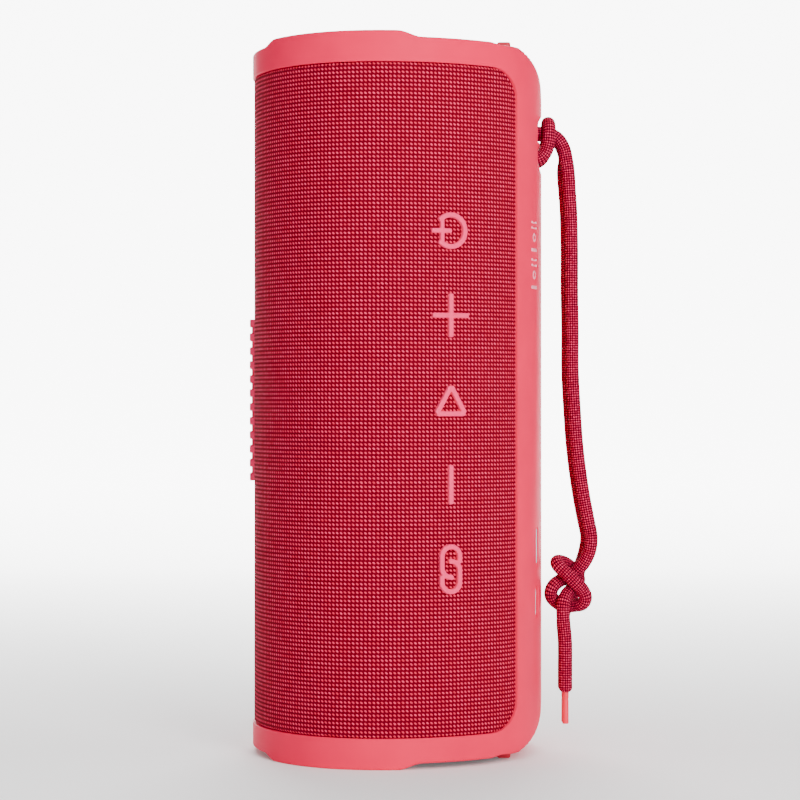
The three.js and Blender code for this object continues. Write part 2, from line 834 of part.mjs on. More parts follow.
function lightPipe() {
  const inner = roundedBox(-1.6, 1.6, LIGHT.z - 5.6, LIGHT.z + 5.6, 1, 3);
  const face = roundedBox(-0.8, 0.8, LIGHT.z - 5.2, LIGHT.z + 5.2, 0.75, 4);
  return union(prismX(inner, 35.3, 38.5), prismX(face, 38, 42.8));
}

function batteryCell(side) {
  return turned([[0, -32], [9.1, -32], [9.1, 32], [3, 32], [3, 33], [0, 33]], 28).translate(11.5, side * 9.6, 0);
}

function batteryCradle() {
  const block = box(9.5, 22.6, -19.9, 19.9, -29, 29);
  return cut(block, cylinderZ(11.5, -9.6, 9.4, -40, 40, 28), cylinderZ(11.5, 9.6, 9.4, -40, 40, 28));
}

function buttonBoard() {
  const outline = roundedBox(-6.2, 6.2, -2 * KEY_PITCH - 9, 2 * KEY_PITCH + 9, 2, 2);
  return prismOut(outline, KEY_ANGLE, KEY_MIDDLE, KEY_FACE - 9.4, KEY_FACE - 8.4);
}

function switchBody(key) {
  const z = keyHeight(key);
  const base = prismOut(roundedBox(-3, 3, -3, 3, 0.5, 1), KEY_ANGLE, z, KEY_FACE - 8.1, KEY_FACE - 6.3);
  const button = roundOut(1.4, z, KEY_FACE - 6.4, KEY_FACE - SWITCH_DEPTH, 12);
  return union(base, button);
}

function lanyardBar() {
  return atSpine(solid(tube(barLine(BAR_HALF), LANYARD_BAR_RADIUS, 12, 12)));
}

// Row of raised bars on a thin carrier; two pegs hold it through the sleeve
function badgeBody() {
  const angle = degrees(BADGE_AT);
  const face = support(angle) - FABRIC.out;
  const bars = [];
  const heights = [3.2, 5.6, 8.6, 6.4, 10, 7.4, 9.2, 5.2, 7.6, 4, 6.2, 3];
  const pitch = (2 * BADGE_HALF - 2.4) / (heights.length - 1);
  heights.forEach((tall, i) => {
    const z = -BADGE_HALF + 1.2 + i * pitch;
    const outline = roundedBox(-tall / 2, tall / 2, -1.2, 1.2, 0.5, 1);
    bars.push(prismOut(outline, angle, z, face - 3, face + 6));
  });
  const spineBar = prismOut(roundedBox(-1.3, 1.3, -BADGE_HALF, BADGE_HALF, 0.4, 1), angle, 0, face - 3, face + 6);
  const skinBars = union(...bars).intersect(wall(FABRIC.out - BADGE_PROUD, FABRIC.out - 0.1, -40, 40));
  const skinSpine = spineBar.intersect(wall(FABRIC.out - 0.8, FABRIC.out - 0.1, -40, 40));
  const pegs = [-1, 1].map((side) => {
    const z = side * BADGE_PEG;
    return atSpine(box(-42.6, -40.9, BADGE_SIDE - 1.2, BADGE_SIDE + 1.2, z - 1.2, z + 1.2));
  });
  return union(skinBars, skinSpine, ...pegs);
}

// ---- strap ----------------------------------------------------------------------------------

// One half of the hitch: in over the bar, round behind it, out below and up to the arch
function hitchLine(side) {
  const near = side * 2.1;
  const wide = side * 5.7;
  return [
    [50.6, near, 71.8],
    [50.1, near, 74.4],
    [48.6, near, 77.3],
    [46.6, near, 78.9],
    [44.0, near, 79.4],
    [41.4, near, 79.4],
    [38.3, side * 2.7, 78.4],
    [37.2, side * 3.9, 75.4],
    [38.2, side * 5.0, 72.4],
    [41.2, wide, 71.3],
    [43.6, wide, 72.4],
    [44.9, wide, 75.2],
    [45.3, side * 5.6, 78.2],
    [45.4, side * 4.6, 80.8],
    [45.35, side * 2.6, 82.2],
    [45.3, 0, 82.6],
  ];
}

function hitchBody() {
  const near = solid(tube(hitchLine(-1), CORD_RADIUS, 24, 8));
  const far = solid(tube(hitchLine(1), CORD_RADIUS, 24, 8));
  const join = new THREE.SphereGeometry(CORD_RADIUS * 1.01, 8, 6);
  join.translate(45.3, 0, 82.6);
  return atSpine(union(near, far, solid(join)));
}

// Line of the near strand, as [x, z]
const STRAND_LINE = [
  [51.1, 68.9],
  [51.6, 61.3],
  [51.9, 56.9],
  [52.2, 44.9],
  [52.2, 33.0],
  [52.4, 20.9],
  [52.4, 9.0],
  [53.0, -3.0],
  [53.9, -15.0],
  [55.5, -27.0],
  [57.1, -35.7],
  [58.0, -40.8],
  [57.7, -44.1],
];
// The far strand hangs a little closer to the speaker than the near one
const FAR_STRAND_IN = 1.0;
const STRAND_APART = 2.15;

function strandLine(side) {
  const inward = side < 0 ? 0 : FAR_STRAND_IN;
  return STRAND_LINE.map(([x, z]) => [x - inward, side * STRAND_APART, z]);
}

const KNOT = { x: 51.5, y: 2.8, z: -55, wide: 7.1, deep: 7.0, tall: 8.6 };

function strapTube(line, steps) {
  return tube(line, CORD_RADIUS, steps).rotateZ(degrees(SPINE_AT));
}

function knotBody() {
  const geometry = new THREE.SphereGeometry(1, 14, 10);
  geometry.rotateX(Math.PI / 2);
  geometry.scale(KNOT.wide, KNOT.deep, KNOT.tall);
  geometry.translate(KNOT.x, KNOT.y, KNOT.z);
  geometry.rotateZ(degrees(SPINE_AT));
  return geometry;
}

const TAIL = { x: 50.4, apart: 2.2, high: -66, low: -86.9, end: -96.4 };

function tailLine(side) {
  const y = side * TAIL.apart;
  return [[TAIL.x, y, TAIL.high], [TAIL.x, y, -73], [TAIL.x, y, -80], [TAIL.x, y, TAIL.low]];
}

function aglet(side) {
  const top = TAIL.low - 0.3;
  const profile = [[0, TAIL.end], [0.85, TAIL.end], [0.95, TAIL.end + 0.4], [0.95, top], [0, top]];
  const geometry = turned(profile, 14).translate(TAIL.x, side * TAIL.apart, 0);
  return geometry.rotateZ(degrees(SPINE_AT));
}

// ---- assembly -------------------------------------------------------------------------------

const group = new THREE.Group();
group.name = 'party_speaker';

const FRAME_RED = { color: 0xf0667c, roughness: 0.45, metalness: 0 };
const CLOTH_RED = { color: 0xb8203f, roughness: 0.9, metalness: 0 };
const KEY_PINK = { color: 0xf58fa0, roughness: 0.5, metalness: 0 };
const BLACK = { color: 0x1c1c1f, roughness: 0.6, metalness: 0 };
const RUBBER = { color: 0x26262a, roughness: 0.85, metalness: 0 };
const METAL = { color: 0xb9bcc0, roughness: 0.35, metalness: 1 };
const BOARD = { color: 0x1f5b3a, roughness: 0.6, metalness: 0 };
const CELL = { color: 0x2f62b8, roughness: 0.5, metalness: 0 };
const GLOW = { color: 0xdff6f6, roughness: 0.3, metalness: 0 };
const CORD_RED = { color: 0xa8203c, roughness: 0.9, metalness: 0 };

function place(name, shape, look) {
  const geometry = typeof shape.getMesh === 'function' ? geometryOf(shape) : shape;
  geometry.translate(SECTION_X, 0, HALF_HEIGHT);
  if (!geometry.attributes.normal) {
    geometry.computeVertexNormals();
  }
  const mesh = new THREE.Mesh(geometry, new THREE.MeshStandardMaterial(look));
  mesh.name = name;
  group.add(mesh);
}

// The same part at the top end and, mirrored, at the bottom end
function placePair(name, shape, look) {
  const geometry = typeof shape.getMesh === 'function' ? geometryOf(shape) : shape;
  const lower = mirrored(geometry);
  place(`${name}_top`, geometry, look);
  place(`${name}_bottom`, lower, look);
}

place('outer_frame', outerFrame(), FRAME_RED);
place('fabric_sleeve', fabricSleeve(), CLOTH_RED);
place('grille', grille(), BLACK);
place('inner_barrel', innerBarrel(), BLACK);

placePair('end_baffle', endBaffle(), BLACK);
placePair('end_trim', endTrim(), BLACK);
placePair('radiator_basket', radiatorBasket(), BLACK);
placePair('radiator_surround', turned(radiatorSurround(), 32), RUBBER);
placePair('radiator_plate', radiatorPlate(), METAL);
placePair('radiator_weight', radiatorWeight(), METAL);
placePair('spine_foot', spineFoot(), FRAME_RED);
screwSpots().forEach(([x, y], i) => {
  placePair(`end_screw_${i + 1}`, screwBody(x, y), METAL);
});

place('woofer_basket', wooferBasket(), BLACK);
place('woofer_surround', wooferSurround(), RUBBER);
place('woofer_cone', wooferCone(), BLACK);
place('woofer_magnet', wooferMagnet(), METAL);
place('tweeter_housing', tweeterHousing(), BLACK);
place('tweeter_dome', tweeterDome(), CLOTH_RED);

place('main_board', mainBoard(), BOARD);
place('usb_c_socket', usbSocket(), METAL);
place('light_pipe', lightPipe(), GLOW);
place('battery_cell_1', batteryCell(-1), CELL);
place('battery_cell_2', batteryCell(1), CELL);
place('battery_cradle', batteryCradle(), BLACK);

place('button_board', buttonBoard(), BOARD);
KEYS.forEach((key, i) => {
  place(key.name, keyBody(key), KEY_PINK);
  place(`key_switch_${i + 1}`, switchBody(key), METAL);
});

place('lanyard_bar', lanyardBar(), FRAME_RED);
place('badge', badgeBody(), KEY_PINK);

place('strap_hitch', hitchBody(), CORD_RED);
place('strap_strand_near', strapTube(strandLine(-1), 20), CORD_RED);
place('strap_strand_far', strapTube(strandLine(1), 20), CORD_RED);
place('strap_knot', knotBody(), CORD_RED);
place('strap_tail_near', strapTube(tailLine(-1), 4), CORD_RED);
place('strap_tail_far', strapTube(tailLine(1), 4), CORD_RED);
place('aglet_near', aglet(-1), FRAME_RED);
place('aglet_far', aglet(1), FRAME_RED);

export default group;
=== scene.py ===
# Looks of the portable speaker: woven sleeve, moulded frame, keys, badge, strap and ends.
# Lengths are in millimetres in the section's own frame: z from mid-height, +X out of the charging
# socket, and the middle of the spine at SPINE_AT. place() turns them into the scene's metres.

import json
import math

import bmesh
import bpy
import numpy as np
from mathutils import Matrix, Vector


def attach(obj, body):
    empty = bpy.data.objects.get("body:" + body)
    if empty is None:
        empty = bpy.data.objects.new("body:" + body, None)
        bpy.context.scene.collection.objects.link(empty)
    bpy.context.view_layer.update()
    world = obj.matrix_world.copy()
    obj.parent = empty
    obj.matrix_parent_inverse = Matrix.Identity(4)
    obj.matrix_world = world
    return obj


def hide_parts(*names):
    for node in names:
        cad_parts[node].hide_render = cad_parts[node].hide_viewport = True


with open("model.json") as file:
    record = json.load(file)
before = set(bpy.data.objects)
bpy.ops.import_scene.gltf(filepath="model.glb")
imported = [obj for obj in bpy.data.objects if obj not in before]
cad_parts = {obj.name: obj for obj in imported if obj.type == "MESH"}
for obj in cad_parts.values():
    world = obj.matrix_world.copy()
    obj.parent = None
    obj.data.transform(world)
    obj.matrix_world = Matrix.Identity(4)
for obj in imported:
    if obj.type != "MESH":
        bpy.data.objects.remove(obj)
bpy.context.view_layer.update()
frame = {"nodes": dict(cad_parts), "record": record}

# ---- dimensions ----

MM = 0.001
HALF_HEIGHT = 104.0
SECTION_X = -0.02
MEAN, LONG, EGG, SQUARE = 44.31, -1.8, 0.5, 0.38  # terms of the section's support function
RIM_LOW, RIM_SCALLOP, RIM_FILLET = 102.3, 0.7, 0.7
SCALLOP_AT, SCALLOP_HALF = 25.5, 7.0  # degrees either side of +X
LOBE_AT, LOBE_FLAT, LOBE_FOOT = 98.0, 26.0, 35.2  # degrees, the last two from LOBE_AT
END_X, END_Z, END_WIDE, END_TALL = 30.9, 90.0, 12.4, 12.6  # how the spine rounds over at its ends
END_START, END_FLARE, END_INWARD, END_SOFT = 8.0, 0.35, 0.62, 0.2  # below END_Z, per mm, of depth, blend
WINDOW_HALF, WINDOW_RADIUS = 95.16, 9.0
SPINE_HALF = 25.2
SPINE_AT = math.radians(17.5)
WALL = 3.2
LIP = 0.22
FABRIC_DEPTH, SLEEVE_GAP = 0.45, 0.14
KEY_BETA = math.radians(312)
KEY_PITCH = 23.9
STROKE = 1.43
PITCH = 1.19  # of the weave
CORD_RADIUS = 2.0
CARRIERS, LAY = 17, 0.72  # picks round the cord, and length of one pick
POCKET_HALF, POCKET_LOW, POCKET_HIGH, POCKET_FLOOR = 10.8, 68.8, 82.1, 32.8
LIGHT_Z, LIGHT_LONG, LIGHT_WIDE, GLOW_HALF = -42.85, 10.9, 2.1, 5.4
SOCKET_Z, SOCKET_LONG, SOCKET_WIDE = -59.2, 9.3, 3.6


def support(b):
    return MEAN + LONG * np.cos(2 * b) + EGG * np.cos(3 * b) + SQUARE * np.cos(4 * b)


def slope(b):
    return -2 * LONG * np.sin(2 * b) - 3 * EGG * np.sin(3 * b) - 4 * SQUARE * np.sin(4 * b)


def bend_radius(b):
    return MEAN - 3 * LONG * np.cos(2 * b) - 8 * EGG * np.cos(3 * b) - 15 * SQUARE * np.cos(4 * b)


BETA = np.linspace(0, 2 * np.pi, 7201)
ARC = np.concatenate([[0], np.cumsum((bend_radius(BETA[1:]) + bend_radius(BETA[:-1])) / 2 * np.diff(BETA))])
AROUND = float(ARC[-1])


def arc_at(b):
    return float(np.interp(b, BETA, ARC))


ARC_SPINE = arc_at(SPINE_AT)


def beta_at(s):
    """Direction of the normal at an arc length counted from the middle of the spine."""
    return np.interp(np.mod(s + ARC_SPINE, AROUND), ARC, BETA)


def section(b, depth=0.0):
    h = support(b) - depth
    t = slope(b)
    return h * np.cos(b) - t * np.sin(b), h * np.sin(b) + t * np.cos(b)


def from_spine(x, y):
    """Point drawn about the spine's own plane, turned to where the spine is."""
    c, n = math.cos(SPINE_AT), math.sin(SPINE_AT)
    return x * c - y * n, x * n + y * c


def to_spine(x, y):
    c, n = math.cos(SPINE_AT), math.sin(SPINE_AT)
    return x * c + y * n, y * c - x * n


QUARTER = np.linspace(0, 1.25, 900)


def arc_at_y(y, way=1):
    """Arc length from the middle of the spine to a side y of its plane, on the far (1) or near (-1) side."""
    b = SPINE_AT + way * QUARTER
    reach = way * (np.interp(np.mod(b, 2 * np.pi), BETA, ARC) - ARC_SPINE)
    return float(np.interp(y, way * to_spine(*section(b))[1], np.mod(reach, AROUND)))


def surf(s, z, depth=0.0):
    """Point of the outside at arc length s from the spine and height z, moved in by a depth."""
    s, z, depth = np.broadcast_arrays(np.asarray(s, float), np.asarray(z, float), np.asarray(depth, float))
    x, y = section(beta_at(s), depth)
    out, side = to_spine(x, y)
    over = np.abs(z) - END_Z
    q = np.clip(over / END_TALL, 0, 0.9995)
    limit = END_X + END_WIDE * np.sqrt(1 - q * q) - END_INWARD * depth + END_FLARE * np.clip(-over, 0, None)
    eased = -END_SOFT * np.logaddexp(-out / END_SOFT, -limit / END_SOFT)
    out = np.where(over > -END_START, eased, out)
    x, y = from_spine(out, side)
    return np.stack([x, y, z], -1)


FACE_BETA = np.linspace(-0.7, 0.7, 800)
FACE_X, FACE_Y = section(FACE_BETA)


def on_face(y, z, depth):
    """Point over the side that faces +X, at y and z, moved in along -X by a depth."""
    x = np.interp(y, FACE_Y, FACE_X)
    y, z, depth, x = np.broadcast_arrays(y, z, depth, x)
    return np.stack([x - depth, y, z], -1)


def place(points):
    p = np.array(points, float).reshape(-1, 3)
    p[:, 0] += SECTION_X
    p[:, 2] += HALF_HEIGHT
    return p * MM


# ---- camera ----

CENTRE = Vector((SECTION_X * MM, 0, HALF_HEIGHT * MM))
VIEW = SPINE_AT
CAMERA_ASIDE, CAMERA_AWAY, LENS = 0.0011, 0.7470, 112.5
TOWARD = Vector((math.sin(VIEW), -math.cos(VIEW), 0))
ACROSS = Vector((math.cos(VIEW), math.sin(VIEW), 0))

camera_data = bpy.data.cameras.new("camera")
camera_data.lens = LENS
camera_data.sensor_width = 36
camera_data.clip_start = 0.01
camera = bpy.data.objects.new("camera", camera_data)
bpy.context.scene.collection.objects.link(camera)
camera.location = CENTRE + ACROSS * CAMERA_ASIDE + TOWARD * CAMERA_AWAY
camera.rotation_euler = (math.pi / 2, 0, VIEW)
bpy.context.scene.camera = camera

# ---- mesh helpers ----


def mesh_piece(name, points, faces, uv=None, body="speaker"):
    """Mesh object from millimetre points, smooth shaded."""
    mesh = bpy.data.meshes.new(name)
    mesh.from_pydata(place(points).tolist(), [], [tuple(int(i) for i in f) for f in faces])
    if uv is not None:
        layer = mesh.uv_layers.new(name="weave")
        index = np.empty(len(mesh.loops), int)
        mesh.loops.foreach_get("vertex_index", index)
        layer.data.foreach_set("uv", np.asarray(uv, float)[index].astype(np.float32).ravel())
    mesh.shade_smooth()
    mesh.update()
    piece = bpy.data.objects.new(name, mesh)
    bpy.context.scene.collection.objects.link(piece)
    if body:
        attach(piece, body)
    return piece


def tidy_mesh(piece, weld=1e-6, sharp=None):
    """Welds points that coincide, turns the faces outward, and marks sharp edges."""
    bm = bmesh.new()
    bm.from_mesh(piece.data)
    bmesh.ops.remove_doubles(bm, verts=bm.verts, dist=weld)
    bmesh.ops.recalc_face_normals(bm, faces=bm.faces)
    bm.to_mesh(piece.data)
    bm.free()
    piece.data.shade_smooth()
    if sharp:
        piece.data.set_sharp_from_angle(angle=math.radians(sharp))
    return piece


def solid(name, shape, sharp=None, body="speaker", weld=1e-6):
    """Tidied piece from a pair of points and faces."""
    return tidy_mesh(mesh_piece(name, *shape, body=body), weld, sharp)


def grid_faces(rows, columns, wrap=False):
    faces = []
    for i in range(rows - 1):
        for j in range(columns if wrap else columns - 1):
            k = (j + 1) % columns
            faces.append((i * columns + j, i * columns + k, (i + 1) * columns + k, (i + 1) * columns + j))
    return faces


def inset(outline, amount):
    """A closed outline moved inward by an amount, by mitred point normals."""
    p = np.asarray(outline, float)
    if abs(amount) < 1e-9:
        return p
    ahead = np.roll(p, -1, 0) - p
    ahead /= np.linalg.norm(ahead, axis=1)[:, None] + 1e-12
    behind = np.roll(ahead, 1, 0)
    n0 = np.stack([-behind[:, 1], behind[:, 0]], -1)
    n1 = np.stack([-ahead[:, 1], ahead[:, 0]], -1)
    n = n0 + n1
    n /= np.linalg.norm(n, axis=1)[:, None] + 1e-12
    mitre = np.clip((n * n1).sum(1), 0.5, 1)
    return p + n * (amount / mitre)[:, None]


def capped(rings):
    """Points and faces of a closed solid through rings of points, capped at both ends."""
    count = len(rings[0])
    last = (len(rings) - 1) * count
    faces = grid_faces(len(rings), count, wrap=True)
    faces += [tuple(range(count))[::-1], tuple(range(last, last + count))]
    return np.concatenate(rings), faces


def loft(outline, rows, mapper):
    """Closed solid: the outline at each (inset, depth) row."""
    rings = [inset(outline, amount) for amount, _ in rows]
    return capped([mapper(ring[:, 0], ring[:, 1], np.full(len(ring), float(depth)))
                   for ring, (_, depth) in zip(rings, rows)])


def rolled(radius, depth, steps):
    """(inset, depth) rows of an edge rounded by a radius, that ends at a depth."""
    return [(radius * (1 - math.cos(a)), depth + radius * (1 - math.sin(a)))
            for a in np.linspace(0, math.pi / 2, steps)[1:]]


def distance_along(points):
    """Distance along a line from its first point to each point."""
    return np.concatenate([[0], np.cumsum(np.linalg.norm(np.diff(points, axis=0), axis=1))])


def joined(parts):
    points, faces, base = [], [], 0
    for p, f in parts:
        points.append(p)
        faces += [tuple(i + base for i in face) for face in f]
        base += len(p)
    return np.concatenate(points), faces


def rounded(u0, u1, v0, v1, radius, steps=6):
    """Rectangle with rounded corners, counterclockwise."""
    points = []
    for u, v, start in ((u1 - radius, v1 - radius, 0), (u0 + radius, v1 - radius, 90),
                        (u0 + radius, v0 + radius, 180), (u1 - radius, v0 + radius, 270)):
        for i in range(steps + 1):
            a = math.radians(start + 90 * i / steps)
            points.append((u + radius * math.cos(a), v + radius * math.sin(a)))
    return np.array(points)


def slot_outline(z, half_long, half_wide, radius, steps=6):
    """Upright rounded rectangle about the height z."""
    return rounded(-half_wide, half_wide, z - half_long, z + half_long, radius, steps)


def filled(outline, spacing):
    """The outline with points added so that no side is longer than the spacing."""
    p = np.asarray(outline, float)
    out = []
    for a, b in zip(p, np.roll(p, -1, 0)):
        n = max(1, int(math.ceil(np.linalg.norm(b - a) / spacing)))
        out += [a + (b - a) * i / n for i in range(n)]
    return np.array(out)


def band(line, width, corner=0.45):
    """Outline of a stroke of a given width along a line, with rounded ends."""
    p = np.asarray(line, float)
    d = np.gradient(p, axis=0)
    d /= np.linalg.norm(d, axis=1)[:, None]
    n = np.stack([-d[:, 1], d[:, 0]], -1) * width / 2
    ends = []
    for at, along, side in ((p[-1], d[-1], n[-1]), (p[0], -d[0], -n[0])):
        across = side / (width / 2)
        turn = []
        for i in range(7):
            a = math.pi / 2 * i / 6
            turn.append((width / 2 - corner + corner * math.cos(a), corner * math.sin(a)))
        for i in range(6, -1, -1):
            a = math.pi / 2 * i / 6
            turn.append((-(width / 2 - corner) - corner * math.cos(a), corner * math.sin(a)))
        ends.append([at - across * w + along * (h - corner) for w, h in turn])
    left = (p + n)[1:-1][::-1]
    right = (p - n)[1:-1]
    return np.concatenate([right, ends[0], left, ends[1]])


def line(u0, v0, u1, v1, step=0.5):
    n = max(3, int(math.hypot(u1 - u0, v1 - v0) / step))
    t = np.linspace(0, 1, n)[:, None]
    return np.array([[u0, v0]]) * (1 - t) + np.array([[u1, v1]]) * t


def arc(u, v, radius, start, end, step=6.0):
    n = max(4, int(abs(end - start) / step))
    a = np.radians(np.linspace(start, end, n))
    return np.stack([u + radius * np.cos(a), v + radius * np.sin(a)], -1)


def lathe(name, profile, body="speaker", sides=144, centre=(0.0, 0.0)):
    """Solid of revolution from (radius, height) pairs that start and end on the axis or close up."""
    a = np.linspace(0, 2 * np.pi, sides, endpoint=False)
    x, y = centre
    rings = [np.stack([x + radius * np.cos(a), y + radius * np.sin(a), np.full(sides, height)], -1)
             for radius, height in profile]
    if profile[0][0] > 0:
        rings.append(rings[0])
    return solid(name, (np.concatenate(rings), grid_faces(len(rings), sides, wrap=True)), 50, body)


def remesh(piece, voxel, smooth):
    """Melts overlapping strokes into one solid and softens its edges."""
    change = piece.modifiers.new("remesh", "REMESH")
    change.mode = "VOXEL"
    change.voxel_size = voxel * MM
    change.adaptivity = 0
    soften = piece.modifiers.new("smooth", "SMOOTH")
    soften.factor = 0.5
    soften.iterations = smooth
    apply_all(piece)
    piece.data.shade_smooth()


def apply_all(piece):
    bpy.context.view_layer.update()
    graph = bpy.context.evaluated_depsgraph_get()
    done = bpy.data.meshes.new_from_object(piece.evaluated_get(graph))
    piece.modifiers.clear()
    piece.data = done


def subtract(piece, tools):
    for tool in tools:
        change = piece.modifiers.new("cut", "BOOLEAN")
        change.operation = "DIFFERENCE"
        change.solver = "EXACT"
        change.object = tool
    apply_all(piece)
    for tool in tools:
        bpy.data.objects.remove(tool, do_unlink=True)


# ---- materials ----


def srgb(r, g, b):
    def one(c):
        c /= 255.0
        return c / 12.92 if c <= 0.04045 else ((c + 0.055) / 1.055) ** 2.4

    return (one(r), one(g), one(b), 1.0)


class Look:
    """A material with its Principled shader, and short calls that add nodes to it."""

    def __init__(self, name, **values):
        self.material = bpy.data.materials.new(name)
        self.material.use_nodes = True
        self.tree = self.material.node_tree
        self.shader = self.tree.nodes["Principled BSDF"]
        for key, value in values.items():
            self.shader.inputs[key.replace("_", " ")].default_value = value

    def node(self, kind, **settings):
        n = self.tree.nodes.new(kind)
        for key, value in settings.items():
            setattr(n, key, value)
        return n

    def put(self, socket, value):
        if isinstance(value, bpy.types.NodeSocket):
            self.tree.links.new(value, socket)
        elif value is not None:
            socket.default_value = value

    def math(self, operation, a, b=None, c=None, clamp=False):
        n = self.node("ShaderNodeMath", operation=operation, use_clamp=clamp)
        for i, v in enumerate((a, b, c)):
            if v is not None:
                self.put(n.inputs[i], v)
        return n.outputs[0]

    def ramp(self, fac, *stops):
        n = self.node("ShaderNodeValToRGB")
        while len(n.color_ramp.elements) < len(stops):
            n.color_ramp.elements.new(0.5)
        for element, (at, colour) in zip(n.color_ramp.elements, stops):
            element.position = at
            element.color = colour
        self.put(n.inputs[0], fac)
        return n.outputs[0]

    def mix(self, fac, a, b, blend="MIX"):
        n = self.node("ShaderNodeMix", data_type="RGBA", blend_type=blend)
        self.put(n.inputs[0], fac)
        self.put(n.inputs[6], a)
        self.put(n.inputs[7], b)
        return n.outputs[2]

    def noise(self, scale, detail=2.0, vector=None, rough=0.5):
        n = self.node("ShaderNodeTexNoise")
        n.inputs["Scale"].default_value = scale
        n.inputs["Detail"].default_value = detail
        n.inputs["Roughness"].default_value = rough
        self.put(n.inputs["Vector"], vector if vector is not None else self.object_space())
        return n.outputs[0]

    def object_space(self):
        if not hasattr(self, "coordinates"):
            self.coordinates = self.node("ShaderNodeTexCoord")
        return self.coordinates.outputs["Object"]

    def uv(self):
        n = self.node("ShaderNodeUVMap", uv_map="weave")
        parts = self.node("ShaderNodeSeparateXYZ")
        self.put(parts.inputs[0], n.outputs[0])
        return n.outputs[0], parts.outputs[0], parts.outputs[1]

    def spread(self, value, low, high):
        """A 0..1 value onto a range."""
        return self.math("MULTIPLY_ADD", value, high - low, low)

    def bump(self, height, distance, strength=1.0, under=None):
        n = self.node("ShaderNodeBump")
        n.inputs["Strength"].default_value = strength
        n.inputs["Distance"].default_value = distance
        self.put(n.inputs["Height"], height)
        if under is not None:
            self.put(n.inputs["Normal"], under)
        self.put(self.shader.inputs["Normal"], n.outputs[0])
        return n.outputs[0]

    def set(self, name, value):
        self.put(self.shader.inputs[name], value)


def plastic(name, base, rough=0.4, grain=0.00002, spread=0.05, **values):
    """Moulded plastic: fine spark-eroded grain, slight mottling and handling marks in the gloss."""
    look = Look(name, **values)
    cloudy = look.noise(60, 3)
    fine = look.noise(3200, 2)
    tint = [max(0.0, c * (1 - spread)) for c in base[:3]] + [1]
    light = [min(1.0, c * (1 + spread)) for c in base[:3]] + [1]
    look.set("Base Color", look.ramp(cloudy, (0.3, tint), (0.7, light)))
    marks = look.noise(240, 4, rough=0.65)
    gloss = look.math("MULTIPLY_ADD", marks, 0.7, look.math("MULTIPLY", fine, 0.3))
    look.set("Roughness", look.spread(gloss, rough - 0.06, rough + 0.08))
    look.bump(fine, grain, 0.6)
    return look.material


def metal(name, base, rough=0.3, grain=0.00001):
    look = Look(name, Metallic=1.0)
    fine = look.noise(1500, 3)
    tint = [c * 0.92 for c in base[:3]] + [1]
    look.set("Base Color", look.ramp(look.noise(80, 2), (0.3, tint), (0.7, base)))
    look.set("Roughness", look.spread(fine, rough - 0.08, rough + 0.1))
    look.bump(fine, grain, 0.5)
    return look.material


def slanted_ovals(look, degrees, long, wide):
    """One slanted oval in each pitch of the UV map: the UV, a chance per pitch, the distance across the
    oval, and the squared distance from its middle, which is 1 at its edge."""
    vector, u, v = look.uv()
    cell = look.node("ShaderNodeVectorMath", operation="FLOOR")
    look.put(cell.inputs[0], vector)
    dice = look.node("ShaderNodeTexWhiteNoise", noise_dimensions="2D")
    look.put(dice.inputs["Vector"], cell.outputs[0])
    x = look.math("SUBTRACT", look.math("FRACT", u), 0.5)
    y = look.math("SUBTRACT", look.math("FRACT", v), 0.5)
    c, n = math.cos(math.radians(degrees)), math.sin(math.radians(degrees))
    along = look.math("ADD", look.math("MULTIPLY", x, c), look.math("MULTIPLY", y, n))
    across = look.math("SUBTRACT", look.math("MULTIPLY", y, c), look.math("MULTIPLY", x, n))
    p = look.math("POWER", look.math("DIVIDE", along, long), 2.0)
    q = look.math("POWER", look.math("DIVIDE", across, wide), 2.0)
    return vector, dice.outputs["Value"], across, look.math("ADD", p, q)


def red_sheen(look, roughness):
    look.set("Specular IOR Level", 0.04)
    look.set("Sheen Weight", 0.02)
    look.set("Sheen Roughness", roughness)
    look.set("Sheen Tint", (1, 0.15, 0.25, 1))


def woven(name):
    """Square basket weave: pale slanted oval floats over a deep ground."""
    look = Look(name)
    vector, chance, across, squared = slanted_ovals(look, -36, 0.43, 0.27)
    strands = look.noise(14, 3, vector=vector, rough=0.6)
    reach = look.math("ADD", look.math("SQRT", squared), look.spread(strands, -0.16, 0.16))
    dome = look.math("SUBTRACT", 1.0, look.math("MULTIPLY", reach, reach), clamp=True)
    thread = look.math("SINE", look.math("MULTIPLY", across, 62.0))
    light = look.mix(chance, (0.8, 0.012, 0.062, 1), (1.0, 0.035, 0.125, 1))
    light = look.mix(look.spread(thread, 0.05, 0.2), light, (0.42, 0.004, 0.04, 1))
    ground = look.mix(strands, (0.1, 0.0004, 0.006, 1), (0.17, 0.0008, 0.012, 1))
    colour = look.mix(look.math("MULTIPLY", dome, 2.2, clamp=True), ground, light)
    patches = look.spread(look.noise(22, 2), 0.0, 0.1)
    look.set("Base Color", look.mix(patches, colour, (0.3, 0.001, 0.02, 1)))
    look.set("Roughness", look.spread(dome, 0.9, 0.62))
    red_sheen(look, 0.45)
    height = look.math("ADD", look.math("SQRT", dome), look.math("MULTIPLY", thread, 0.05))
    look.bump(height, 0.00022, 0.9)
    return look.material


